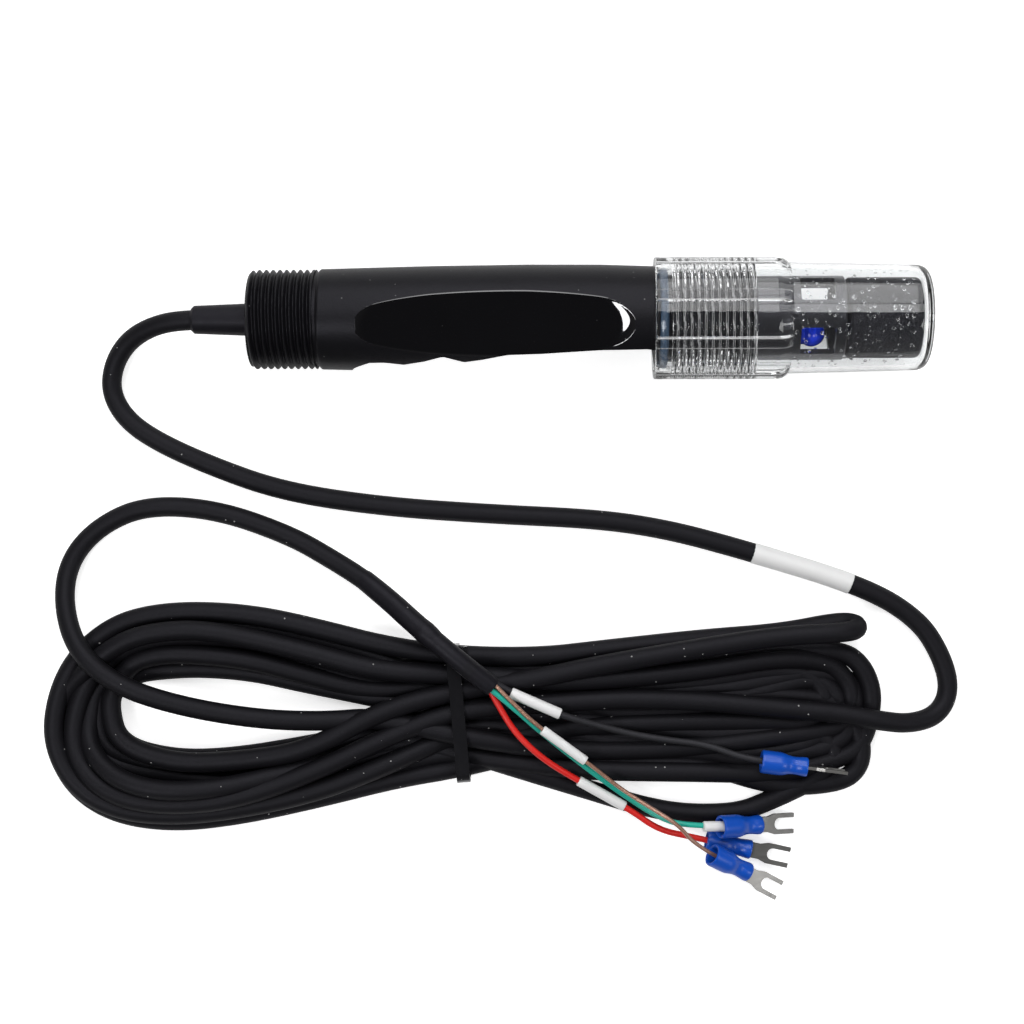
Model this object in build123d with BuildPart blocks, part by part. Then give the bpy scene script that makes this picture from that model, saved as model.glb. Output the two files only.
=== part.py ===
from build123d import *
import os
from math import atan2, cos, pi, radians, sin, tan

# Industrial pH electrode lying on its side, with its storage cap, cable hank and fork terminals.
# All sizes are millimetres. A station is the distance along the probe's axis from the rear face.
# An angle about the axis is measured from straight up, towards +Y.

# Fits
running_clearance = 0.3
seat_clearance = 0.05

# Housing: one black moulding with a pipe thread at each end
thread_r = 13.2
thread_chamfer = 0.8
rear_thread_length = 17.4
runout_depth = 0.8
runout_length = 1.0
barrel_length = 89.8
barrel_rear_step = 0.1
barrel_end_step = 0.5
barrel_swell = ((0.326, 0.8), (0.619, 1.1), (0.831, 1.0))
edge_break = 0.4
neck_length = 3.8
front_thread_length = 19.2
nose_length = 1.0
cavity_share = 0.5455
rear_bore_wall = 3.0
rear_bore_depth = 10.0
spigot_bore_wall = 3.7
spigot_bore_depth = 10.2

# Glossy scoop in the top of the barrel, a shallow trough with a flat cross section
scoop_angle = -8.3
scoop_rear_margin = 9.2
scoop_front_margin = 5.7
scoop_middle_share = 0.486
scoop_start_depth = 0.15
scoop_middle_depth = 1.9
scoop_end_depth = 0.0
scoop_corner_r = 3.2

# Grip relief along the -Y side: share of the barrel's length, and depth below the thread's crest
grip_outline = (
    (0.087, -0.4),
    (0.151, 1.05),
    (0.196, 1.10),
    (0.253, 0.60),
    (0.314, 1.30),
    (0.369, 2.40),
    (0.430, 1.10),
    (0.480, 1.60),
    (0.558, 2.75),
    (0.657, 3.00),
    (0.822, 3.85),
    (0.964, 4.10),
)
grip_step = 1.2

# Bulb guard at the front of the housing, with a window length set back from its rim
guard_step = 2.15
guard_wall = 1.85
guard_length = 24.4
guard_shoulder = 1.8
spigot_wall = 1.2
window_setback = 2.9
window_length = 9.0
window_width = 8.0
window_corner_r = 0.6
window_angles = (-140.0, -40.0, 40.0, 140.0)

# Measuring elements behind and inside the guard
stem_gap = 0.2
stem_r = 3.0
stem_reach = 32.2
stem_wall = 0.6
bulb_setback = 5.3
bulb_r = 3.6
silver_wire_r = 0.35
silver_wire_tail = 4.0
silver_wire_tip = 1.4
sensor_gap = 0.6
sensor_r = 2.0
sensor_tail = 11.0
sensor_setback = 1.2
junction_setback = 3.8
junction_thickness = 5.0
support_setback = 1.0
support_thickness = 7.0
inner_lead_r = 0.8
plug_start = 1.2

# O-ring between the barrel's shoulder and the cap
ring_section_r = 1.1

# Clear storage cap, one moulding with a ribbed collar and a tapered cup
cap_overlap = 1.3
cap_mouth_length = 4.3
collar_wall = 2.05
collar_length = 31.8
cap_step_length = 3.6
cup_clearance = 3.6
cup_taper = 0.85
cap_corner_r = 3.0
cap_wall = 1.35
cap_end_wall = 2.0
cap_thread_runout = 2.3
rib_count = 8
rib_angle = 15.8
rib_width = 3.25
rib_height = 0.6
rib_inset = 0.2

# Wetting sponge in the cup
sponge_length = 19.5
sponge_inset = 0.45
sponge_corner_r = 1.0
sponge_clearance = 0.6
sponge_end_clearance = 0.3

# Heat-shrunk boot where the cable leaves the rear face
boot_reach = 16.2
boot_mouth_r = 3.0
boot_tail_r = 3.75
boot_tail = 0.8
boot_r = 4.35
boot_seat = 5.0
boot_bore_depth = 5.0

# Cable and the pieces on it. Points of all cords are drawn for a rear face at this X,
# and move with it when the probe's length changes.
cords_drawn_at = -89.432
cable_r = 2.45
cable_clearance = 0.15
marker_wall = 0.25
marker_length = 28.0
marker_setback = 5.0
shrink_r = 2.75

# Hank: low slab of side by side turns, with a higher bundle where the tie holds them
hank_low = 5.5
hank_high = 10.2
bundle_start = -56.6
bundle_end = -12.0
hank_outline = (
    (-147.9, -112.0),
    (-143.6, -97.0),
    (-137.0, -88.5),
    (-128.0, -82.0),
    (-117.4, -77.0),
    (-104.0, -75.3),
    (-87.0, -76.5),
    (-69.6, -80.0),
    (-50.6, -84.6),
    (-36.4, -88.3),
    (-22.0, -88.3),
    (-6.0, -87.2),
    (13.0, -84.0),
    (48.0, -81.5),
    (66.5, -79.2),
    (74.0, -82.0),
    (79.5, -93.0),
    (81.0, -105.5),
    (77.2, -114.5),
    (76.0, -122.0),
    (66.5, -127.0),
    (50.0, -129.6),
    (38.0, -133.0),
    (26.5, -135.2),
    (13.5, -133.6),
    (-4.0, -127.5),
    (-18.0, -123.6),
    (-33.0, -122.6),
    (-43.0, -124.0),
    (-62.0, -128.6),
    (-83.0, -134.4),
    (-102.0, -137.6),
    (-119.0, -137.0),
    (-133.0, -131.6),
    (-143.0, -123.0),
)

# Cable tie round the hank
tie_x = -34.6
tie_width = 3.6
tie_thickness = 1.2
tie_turn = 5.0
tie_top_y = -88.2
tie_bottom_y = -122.9
tie_corner_r = 2.5

# Bends of every route: share of the shorter run beside a corner that its arc takes up
arc_share = 0.45

# Route of the cable from the boot to the hank, after two points on the probe's axis
cable_first_run = 7.8
cable_route = (
    (-116.6, -1.4, 10.2),
    (-123.6, -4.9, 6.9),
    (-128.2, -11.0, 4.1),
    (-129.4, -18.4, 2.7),
    (-125.6, -25.6, 2.6),
    (-118.0, -31.4, 2.6),
    (-104.2, -37.9, 2.6),
    (-83.2, -45.6, 2.6),
    (-55.5, -49.8, 2.6),
    (-25.0, -51.9, 2.6),
    (3.0, -53.2, 2.6),
    (21.5, -55.9, 2.7),
    (40.6, -60.9, 2.9),
    (75.5, -71.4, 2.9),
    (90.5, -80.4, 2.7),
    (97.2, -90.6, 2.6),
    (99.4, -99.6, 2.6),
    (95.6, -106.4, 2.6),
    (87.6, -108.6, 2.7),
    (79.0, -107.6, 2.8),
)
marker_run = 14

# Route of the far end: out of the bundle, round the left, and up onto the bundle again
cable_end_route = (
    (bundle_start, -106.6, 8.2),
    (-70.0, -107.6, 8.2),
    (-88.1, -106.9, 8.2),
    (-109.1, -103.3, 8.2),
    (-126.0, -97.6, 8.4),
    (-137.0, -88.4, 8.2),
    (-142.8, -76.0, 5.4),
    (-141.8, -64.4, 2.9),
    (-133.2, -54.6, 2.6),
    (-119.6, -49.4, 2.6),
    (-100.4, -50.6, 2.6),
    (-80.3, -57.7, 2.6),
    (-68.6, -64.4, 3.6),
    (-60.4, -69.4, 5.8),
)
end_shrink_route = (
    (-60.4, -69.4, 5.8),
    (-53.8, -74.4, 8.6),
    (-46.2, -81.0, 12.3),
    (-38.3, -87.5, 14.8),
    (-30.4, -93.9, 14.9),
    (-25.2, -97.9, 14.0),
)

# Thin leads: radius, marker radius, marker start and end points, and the route up to the terminal
lead_marker_clearance = 0.15
leads = {
    "red": {
        "radius": 0.85,
        "marker_r": 1.4,
        "marker_length": 14.4,
        "marker_from": (-2.2, -123.6, 8.65),
        "marker_to": (11.8, -131.6, 7.35),
        "route": (
            (-26.0, -98.8, 13.1),
            (-23.6, -103.2, 12.7),
            (-19.4, -110.2, 12.2),
            (-12.4, -117.0, 11.8),
            (-3.6, -122.8, 8.8),
            (11.8, -131.6, 7.35),
            (19.4, -137.2, 6.4),
            (28.6, -139.6, 3.3),
        ),
    },
    "green": {
        "radius": 0.75,
        "marker_r": 1.4,
        "marker_length": 8.5,
        "marker_from": (31.2, -135.64, 10.44),
        "marker_to": (41.8, -135.97, 7.28),
        "route": (
            (-25.6, -98.6, 14.8),
            (-21.0, -102.4, 13.8),
            (-13.0, -109.6, 12.3),
            (-2.2, -118.4, 10.5),
            (9.1, -127.0, 7.6),
            (18.6, -133.2, 8.2),
            (26.4, -135.5, 11.87),
        ),
    },
    "copper": {
        "radius": 0.55,
        "marker_r": 1.3,
        "marker_length": 14.4,
        "marker_from": (-12.0, -109.3, 14.1),
        "marker_to": (1.4, -119.2, 12.4),
        "route": (
            (-24.6, -97.3, 15.1),
            (-20.2, -101.8, 15.0),
            (-13.2, -108.4, 14.25),
            (1.4, -119.2, 12.4),
            (8.4, -125.0, 11.4),
            (17.0, -130.4, 12.2),
            (24.2, -134.6, 13.4),
            (29.4, -141.0, 11.5),
        ),
    },
    "black": {
        "radius": 0.9,
        "marker_r": 1.5,
        "marker_length": 14.4,
        "marker_from": (-20.4, -99.6, 12.25),
        "marker_to": (-5.4, -106.1, 11.95),
        "route": (
            (-24.6, -97.0, 13.0),
            (-21.0, -99.2, 12.3),
            (-13.4, -102.8, 12.1),
            (-5.4, -106.1, 11.95),
            (3.0, -108.6, 9.6),
            (11.5, -111.0, 7.0),
            (22.0, -112.8, 6.8),
            (32.4, -113.9, 7.4),
            (43.2, -117.9, 9.0),
        ),
    },
}

# Fork terminals: rear mouth of each sleeve, its heading and dip, and how far it is rolled
sleeve_length = 12.5
sleeve_rear_r = 3.1
sleeve_front_r = 2.6
sleeve_waist_r = 2.35
sleeve_bore_r = 2.25
crimp_r = 1.6
crimp_length = 7.0
crimp_grip = 1.5
fork_length = 10.5
fork_root_width = 4.2
fork_width = 5.6
fork_slot = 3.2
fork_slot_start = 4.4
fork_thickness = 0.8
terminals = {
    "black": ((46.9, -118.35, 9.0), -7.2, 0.0, 90.0),
    "green": ((35.7, -135.85, 10.0), -1.0, 24.0, 0.0),
    "red": ((32.7, -140.5, 3.3), -12.0, 0.0, 0.0),
    "copper": ((33.6, -143.3, 9.7), -28.6, 20.5, 0.0),
}

# Stations and radii that follow from the sizes above
barrel_start = rear_thread_length + runout_length
barrel_end = barrel_start + barrel_length
barrel_rear_r = thread_r + barrel_rear_step
barrel_end_r = thread_r + barrel_end_step
neck_r = barrel_end_r - 2 * ring_section_r
cavity_r = cavity_share * thread_r
rear_bore_r = thread_r - rear_bore_wall
spigot_bore_r = thread_r - spigot_bore_wall
spigot_inner_r = spigot_bore_r - spigot_wall
guard_r = thread_r - guard_step
guard_bore_r = guard_r - guard_wall
stem_offset = stem_gap + stem_r - cavity_r
sensor_offset = cavity_r - sensor_r - sensor_gap
neck_end = barrel_end + neck_length
front_thread_end = neck_end + front_thread_length
housing_end = front_thread_end + nose_length
spigot_bore_start = housing_end - spigot_bore_depth
guard_end = housing_end + guard_length
window_start = guard_end - window_setback - window_length
bulb_station = window_start + window_length - bulb_setback
stem_start = housing_end - stem_reach
junction_start = housing_end + junction_setback
support_start = spigot_bore_start + support_setback
sensor_start = support_start - sensor_tail
sensor_end = window_start - sensor_setback
silver_wire_start = stem_start - silver_wire_tail
silver_wire_end = bulb_station - silver_wire_tip
cap_start = barrel_end - cap_overlap
cap_mouth_end = cap_start + cap_mouth_length
cap_thread_end = front_thread_end + cap_thread_runout
mouth_r = barrel_end_r + running_clearance + seat_clearance
cap_bore_r = thread_r + running_clearance
collar_r = mouth_r + collar_wall
collar_end = cap_start + collar_length
cup_start = collar_end + cap_step_length
cup_r = guard_r + cup_clearance
cup_front_r = cup_r - cup_taper
sponge_start = guard_end + sponge_clearance
sponge_r = guard_r - sponge_inset
cup_bore_end = sponge_start + sponge_length + sponge_end_clearance
cup_bore_r = cup_front_r - cap_wall
cap_end = cup_bore_end + cap_end_wall

# The probe rests on the lower edge of its rear thread and on the cap's lowest rib,
# which tips its axis up by about two degrees towards the cap.
rib_r = collar_r + rib_height
rib_edge_angle = radians(rib_angle)
rib_low = rib_r * cos(rib_edge_angle) + rib_width / 2 * sin(rib_edge_angle)
tilt = atan2(rib_low - thread_r, cap_start + rib_inset - thread_chamfer)
axis_dir = Vector(cos(tilt), 0, sin(tilt))
up_dir = Vector(-sin(tilt), 0, cos(tilt))
side_dir = Vector(0, 1, 0)
rear_height = (thread_r - thread_chamfer * tan(tilt)) * cos(tilt)
rear_face_r = thread_r - thread_chamfer
front_face_r = cup_front_r - cap_corner_r
half_length = (cap_end * cos(tilt) + (rear_face_r + front_face_r) * sin(tilt)) / 2
rear_centre = Vector(rear_face_r * sin(tilt) - half_length, 0, rear_height)
cord_shift = Vector(rear_centre.X - cords_drawn_at, 0, 0)
probe_axis = Axis(rear_centre, axis_dir)


def on_axis(station):
    """Point on the probe's axis."""
    return rear_centre + axis_dir * station


def radial(angle):
    """Direction away from the axis at an angle from straight up."""
    return up_dir * cos(radians(angle)) + side_dir * sin(radians(angle))


def lengthwise(angle=0.0):
    """Plane through the axis: x is the station, y the distance from the axis."""
    return Plane(origin=rear_centre, x_dir=axis_dir, z_dir=axis_dir.cross(radial(angle)))


def across(station, offset=0.0):
    """Plane square to the axis, its origin set over by offset towards +Y."""
    return Plane(origin=on_axis(station) + side_dir * offset, x_dir=side_dir, z_dir=axis_dir)


def outline_face(outline, offset=0.0):
    """Face in the upright plane through an axis that is set over by offset towards +Y."""
    plane = Plane(origin=rear_centre + side_dir * offset, x_dir=axis_dir, z_dir=-side_dir)
    with BuildSketch(plane) as profile:
        with BuildLine():
            Polyline(*outline, close=True)
        make_face()
    return profile.sketch


def bend_radii(points):
    """Radius for each corner of a route, as large as its two runs allow."""
    radii = []
    for before, corner, after in zip(points, points[1:], points[2:]):
        run_in = Vector(*corner) - Vector(*before)
        run_out = Vector(*after) - Vector(*corner)
        half_turn = radians(run_in.get_angle(run_out)) / 2
        radii.append(arc_share * min(run_in.length, run_out.length) / tan(half_turn))
    return radii


def cord_tube(name, points, radius):
    """Round cord along straight runs joined by tangent arcs."""
    points = [tuple(Vector(*point) + cord_shift) for point in points]
    radii = bend_radii(points)
    with BuildPart() as cord:
        with BuildLine() as route:
            FilletPolyline(*points, radius=radii)
        with BuildSketch(Plane(origin=route.line @ 0, z_dir=route.line % 0)):
            Circle(radius)
        sweep()
    length = sum(edge.length for edge in route.edges())
    ratio = cord.part.volume / (pi * radius**2 * length)
    print(name, "length", round(length, 1), "volume ratio", round(ratio, 4))
    print("  radii", [round(value, 1) for value in radii])
    return cord.part


def straight_sleeve(start, end, length, outer_r, bore_r):
    """Hollow sleeve of a given length from start towards end."""
    heading = Vector(*end) - Vector(*start)
    with BuildPart() as sleeve:
        with BuildSketch(Plane(origin=Vector(*start) + cord_shift, z_dir=heading)):
            Circle(outer_r)
            Circle(bore_r, mode=Mode.SUBTRACT)
        extrude(amount=length)
    return sleeve.part


def save(part, label):
    """Label a finished piece and write it."""
    part.label = label
    export_step(part, f"parts/{label}.step")


os.makedirs("parts", exist_ok=True)

# Housing
with BuildPart() as housing:
    with BuildSketch(lengthwise()):
        with BuildLine():
            Polyline(
                (barrel_end, barrel_end_r - edge_break),
                (barrel_end, neck_r),
                (neck_end, neck_r),
                (neck_end + thread_chamfer, thread_r),
                (front_thread_end, thread_r),
                (housing_end, thread_r - thread_chamfer),
                (housing_end, spigot_bore_r),
                (spigot_bore_start, spigot_bore_r),
                (spigot_bore_start, cavity_r),
                (rear_bore_depth, cavity_r),
                (rear_bore_depth, rear_bore_r),
                (0, rear_bore_r),
                (0, thread_r - thread_chamfer),
                (thread_chamfer, thread_r),
                (rear_thread_length, thread_r),
                (rear_thread_length + runout_depth / 2, thread_r - runout_depth),
                (barrel_start, thread_r - runout_depth),
                (barrel_start, barrel_rear_r - edge_break),
                (barrel_start + edge_break, barrel_rear_r),
            )
            barrel_line = Spline(
                (barrel_start + edge_break, barrel_rear_r),
                *[(barrel_start + share * barrel_length, thread_r + swell) for share, swell in barrel_swell],
                (barrel_end - edge_break, barrel_end_r),
            )
            Line(barrel_line @ 1, (barrel_end, barrel_end_r - edge_break))
        make_face()
    revolve(axis=probe_axis)

    # Scoop
    scoop_top = thread_r + 2 * scoop_corner_r
    scoop_start = barrel_start + scoop_rear_margin
    scoop_end = barrel_end - scoop_front_margin
    scoop_middle = scoop_start + scoop_middle_share * (scoop_end - scoop_start)
    with BuildSketch(lengthwise(scoop_angle)) as scoop_profile:
        with BuildLine():
            scoop_floor = ThreePointArc(
                (scoop_start, thread_r - scoop_start_depth),
                (scoop_middle, thread_r - scoop_middle_depth),
                (scoop_end, thread_r - scoop_end_depth),
            )
            Polyline(
                scoop_floor @ 1,
                (scoop_end, scoop_top),
                (scoop_start, scoop_top),
                scoop_floor @ 0,
            )
        make_face()
        fillet(scoop_profile.vertices().sort_by(Axis.Z)[:2], scoop_corner_r)
    extrude(amount=thread_r, both=True, mode=Mode.SUBTRACT)

    # Grip relief
    with BuildSketch(lengthwise(-90.0)):
        with BuildLine():
            grip_points = [
                (barrel_start + share * barrel_length, thread_r - depth) for share, depth in grip_outline
            ]
            grip_line = Spline(*grip_points)
            grip_first = grip_points[0][0]
            grip_last = grip_points[-1][0] + grip_step
            Polyline(
                grip_line @ 1,
                (grip_last, grip_points[-1][1]),
                (grip_last, 2 * thread_r),
                (grip_first, 2 * thread_r),
                grip_line @ 0,
            )
        make_face()
    extrude(amount=2 * thread_r, both=True, mode=Mode.SUBTRACT)
save(housing.part, "housing")

# Bulb guard
with BuildPart() as sensor_guard:
    guard_seat = housing_end + seat_clearance
    revolve(
        outline_face(
            (
                (spigot_bore_start + seat_clearance, spigot_inner_r),
                (spigot_bore_start + seat_clearance, spigot_bore_r - seat_clearance),
                (guard_seat, spigot_bore_r - seat_clearance),
                (guard_seat, guard_r),
                (guard_end - edge_break, guard_r),
                (guard_end, guard_r - edge_break),
                (guard_end, guard_bore_r),
                (housing_end + guard_shoulder, guard_bore_r),
                (housing_end + guard_shoulder, spigot_inner_r),
            )
        ),
        axis=probe_axis,
    )
    for angle in window_angles:
        window_centre = on_axis(window_start + window_length / 2)
        with BuildSketch(Plane(origin=window_centre, x_dir=axis_dir, z_dir=radial(angle))):
            RectangleRounded(window_length, window_width, window_corner_r)
        extrude(amount=guard_r + edge_break, mode=Mode.SUBTRACT)
save(sensor_guard.part, "sensor_guard")

# Discs that carry the measuring elements in the guard
stem_hole_r = stem_r + seat_clearance
sensor_hole_r = sensor_r + seat_clearance
with BuildPart() as reference_junction:
    with BuildSketch(across(junction_start)):
        Circle(guard_bore_r - seat_clearance)
        with Locations((stem_offset, 0)):
            Circle(stem_hole_r, mode=Mode.SUBTRACT)
        with Locations((sensor_offset, 0)):
            Circle(sensor_hole_r, mode=Mode.SUBTRACT)
    extrude(amount=junction_thickness)
save(reference_junction.part, "reference_junction")

with BuildPart() as stem_support:
    with BuildSketch(across(support_start)):
        Circle(spigot_inner_r - seat_clearance)
        with Locations((stem_offset, 0)):
            Circle(stem_hole_r, mode=Mode.SUBTRACT)
        with Locations((sensor_offset, 0)):
            Circle(sensor_hole_r, mode=Mode.SUBTRACT)
    extrude(amount=support_thickness)
save(stem_support.part, "stem_support")

# Glass electrode: hollow stem closed at the rear, blown into a bulb at the front
with BuildPart() as glass_electrode:
    with BuildSketch(across(stem_start, stem_offset)):
        Circle(stem_r)
    extrude(amount=bulb_station - stem_start)
    with Locations(Location(on_axis(bulb_station) + side_dir * stem_offset)):
        Sphere(bulb_r)
    with BuildSketch(across(stem_start + 2 * stem_wall, stem_offset)):
        Circle(stem_r - stem_wall)
    extrude(amount=bulb_station - stem_start - 2 * stem_wall, mode=Mode.SUBTRACT)
    with Locations(Location(on_axis(bulb_station) + side_dir * stem_offset)):
        Sphere(bulb_r - stem_wall, mode=Mode.SUBTRACT)
    with BuildSketch(across(stem_start, stem_offset)):
        Circle(silver_wire_r + seat_clearance)
    extrude(amount=2 * stem_wall, mode=Mode.SUBTRACT)
save(glass_electrode.part, "glass_electrode")

with BuildPart() as silver_wire:
    with BuildSketch(across(silver_wire_start, stem_offset)):
        Circle(silver_wire_r)
    extrude(amount=silver_wire_end - silver_wire_start)
save(silver_wire.part, "silver_wire")

with BuildPart() as temperature_probe:
    revolve(
        outline_face(
            (
                (sensor_start, 0),
                (sensor_start, sensor_r),
                (sensor_end - sensor_r / 2, sensor_r),
                (sensor_end, sensor_r / 2),
                (sensor_end, 0),
            ),
            sensor_offset,
        ),
        axis=Axis(rear_centre + side_dir * sensor_offset, axis_dir),
    )
save(temperature_probe.part, "temperature_probe")

# Potting plug that closes the rear bore round the boot
with BuildPart() as potting_plug:
    with BuildSketch(across(plug_start)):
        Circle(rear_bore_r - seat_clearance)
    extrude(amount=rear_bore_depth - plug_start - seat_clearance)
    with BuildSketch(across(plug_start)):
        Circle(boot_r + seat_clearance)
    extrude(amount=boot_seat, mode=Mode.SUBTRACT)
save(potting_plug.part, "potting_plug")

# Inner leads from the plug to the two measuring elements
inner_lead_ends = {
    "measuring_lead": (stem_offset, silver_wire_start),
    "temperature_lead": (sensor_offset, sensor_start),
}
for label, (offset, end_station) in inner_lead_ends.items():
    with BuildPart() as inner_lead:
        with BuildSketch(across(rear_bore_depth, offset)):
            Circle(inner_lead_r)
        extrude(amount=end_station - rear_bore_depth - seat_clearance)
    save(inner_lead.part, label)

# O-ring
with BuildPart() as o_ring:
    with BuildSketch(lengthwise()):
        ring_offset = seat_clearance + ring_section_r
        with Locations((barrel_end + ring_offset, neck_r + ring_offset)):
            Circle(ring_section_r)
    revolve(axis=probe_axis)
save(o_ring.part, "o_ring")

# Storage cap
with BuildPart() as storage_cap:
    inner_corner_r = cap_corner_r - cap_wall
    corner_mid = 1 - sin(pi / 4)
    with BuildSketch(lengthwise()):
        with BuildLine():
            Polyline(
                (cap_end, 0),
                (cup_bore_end, 0),
                (cup_bore_end, cup_bore_r - inner_corner_r),
            )
            ThreePointArc(
                (cup_bore_end, cup_bore_r - inner_corner_r),
                (
                    cup_bore_end - inner_corner_r * corner_mid,
                    cup_bore_r - inner_corner_r * corner_mid,
                ),
                (cup_bore_end - inner_corner_r, cup_bore_r),
            )
            Polyline(
                (cup_bore_end - inner_corner_r, cup_bore_r),
                (cup_start, cup_r - cap_wall),
                (cap_thread_end, cap_bore_r),
                (cap_mouth_end, cap_bore_r),
                (cap_mouth_end - running_clearance, mouth_r),
                (cap_start, mouth_r),
                (cap_start, collar_r - edge_break),
                (cap_start + edge_break, collar_r),
                (collar_end, collar_r),
            )
            ThreePointArc(
                (collar_end, collar_r),
                (
                    (collar_end + cup_start) / 2,
                    (collar_r + cup_r) / 2 + edge_break,
                ),
                (cup_start, cup_r),
            )
            Line((cup_start, cup_r), (cap_end - cap_corner_r, cup_front_r))
            ThreePointArc(
                (cap_end - cap_corner_r, cup_front_r),
                (
                    cap_end - cap_corner_r * corner_mid,
                    cup_front_r - cap_corner_r * corner_mid,
                ),
                (cap_end, cup_front_r - cap_corner_r),
            )
            Line((cap_end, cup_front_r - cap_corner_r), (cap_end, 0))
        make_face()
    revolve(axis=probe_axis)
    for rib in range(rib_count):
        with BuildSketch(lengthwise(rib_angle + rib * 360 / rib_count)):
            with BuildLine():
                Polyline(
                    (cap_start + rib_inset, collar_r - rib_height),
                    (cap_start + rib_inset, rib_r),
                    (collar_end + rib_inset, rib_r),
                    (cup_start, cup_r + rib_height),
                    (cup_start, cup_r - rib_inset),
                    (collar_end, collar_r - rib_height),
                    close=True,
                )
            make_face()
        extrude(amount=rib_width / 2, both=True)
save(storage_cap.part, "storage_cap")

# Wetting sponge
with BuildPart() as wetting_sponge:
    with BuildSketch(across(sponge_start)):
        Circle(sponge_r)
    extrude(amount=sponge_length)
    fillet(wetting_sponge.edges().filter_by(GeomType.CIRCLE), sponge_corner_r)
save(wetting_sponge.part, "wetting_sponge")

# Boot
with BuildPart() as cable_boot:
    revolve(
        outline_face(
            (
                (boot_seat + plug_start - seat_clearance, 0),
                (boot_seat + plug_start - seat_clearance, boot_r),
                (0, boot_r),
                (boot_tail - boot_reach, boot_tail_r),
                (-boot_reach, boot_mouth_r),
                (-boot_reach, cable_r + seat_clearance),
                (boot_bore_depth - boot_reach, cable_r + seat_clearance),
                (boot_bore_depth - boot_reach, 0),
            )
        ),
        axis=probe_axis,
    )
save(cable_boot.part, "cable_boot")

# Cable
cable_start = boot_bore_depth - boot_reach - seat_clearance
cable_points = [
    tuple(on_axis(cable_start) - cord_shift),
    tuple(on_axis(cable_start - cable_first_run) - cord_shift),
    *cable_route,
]
save(cord_tube("cable", cable_points, cable_r), "cable")
save(cord_tube("cable_end", cable_end_route, cable_r), "cable_end")
save(cord_tube("end_shrink", end_shrink_route, shrink_r), "end_shrink")

marker_bore_r = cable_r + cable_clearance
marker_base = Vector(*cable_points[marker_run])
marker_aim = Vector(*cable_points[marker_run + 1])
marker_start = marker_base + (marker_aim - marker_base).normalized() * marker_setback
save(
    straight_sleeve(marker_start, marker_aim, marker_length, marker_bore_r + marker_wall, marker_bore_r),
    "cable_marker",
)

# Hank with the groove that the tie lies in
tie_centre = Vector(tie_x, (tie_top_y + tie_bottom_y) / 2, 0) + cord_shift
tie_plane = Plane(origin=tie_centre, x_dir=Vector(0, 1, 0), z_dir=Vector(1, 0, 0)).rotated((0, 0, tie_turn))
tie_span = tie_top_y - tie_bottom_y
with BuildPart() as hank:
    with BuildSketch(Plane(origin=cord_shift)):
        with BuildLine():
            Spline(*hank_outline, periodic=True)
        make_face()
    extrude(amount=hank_low)
    with BuildSketch(Plane(origin=cord_shift)):
        with BuildLine():
            Spline(*hank_outline, periodic=True)
        make_face()
        with Locations(((bundle_start + bundle_end) / 2, tie_centre.Y)):
            Rectangle(bundle_end - bundle_start, 2 * tie_span, mode=Mode.INTERSECT)
    extrude(amount=hank_high)
    with BuildSketch(tie_plane):
        Rectangle(2 * tie_span, 4 * hank_high)
        with Locations((0, tie_thickness + seat_clearance + hank_high)):
            Rectangle(tie_span - 2 * seat_clearance, 2 * hank_high, mode=Mode.SUBTRACT)
    extrude(amount=tie_width / 2 + seat_clearance, both=True, mode=Mode.SUBTRACT)
save(hank.part, "hank")

# Cable tie
with BuildPart() as cable_tie:
    band_height = hank_high + 2 * (tie_thickness + seat_clearance) - tie_thickness
    with BuildSketch(tie_plane.offset(-tie_width / 2)):
        with Locations((0, band_height / 2)):
            RectangleRounded(tie_span + 2 * tie_thickness, band_height, tie_corner_r)
            Rectangle(
                tie_span,
                band_height - 2 * tie_thickness,
                mode=Mode.SUBTRACT,
            )
    extrude(amount=tie_width)
save(cable_tie.part, "cable_tie")

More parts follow.
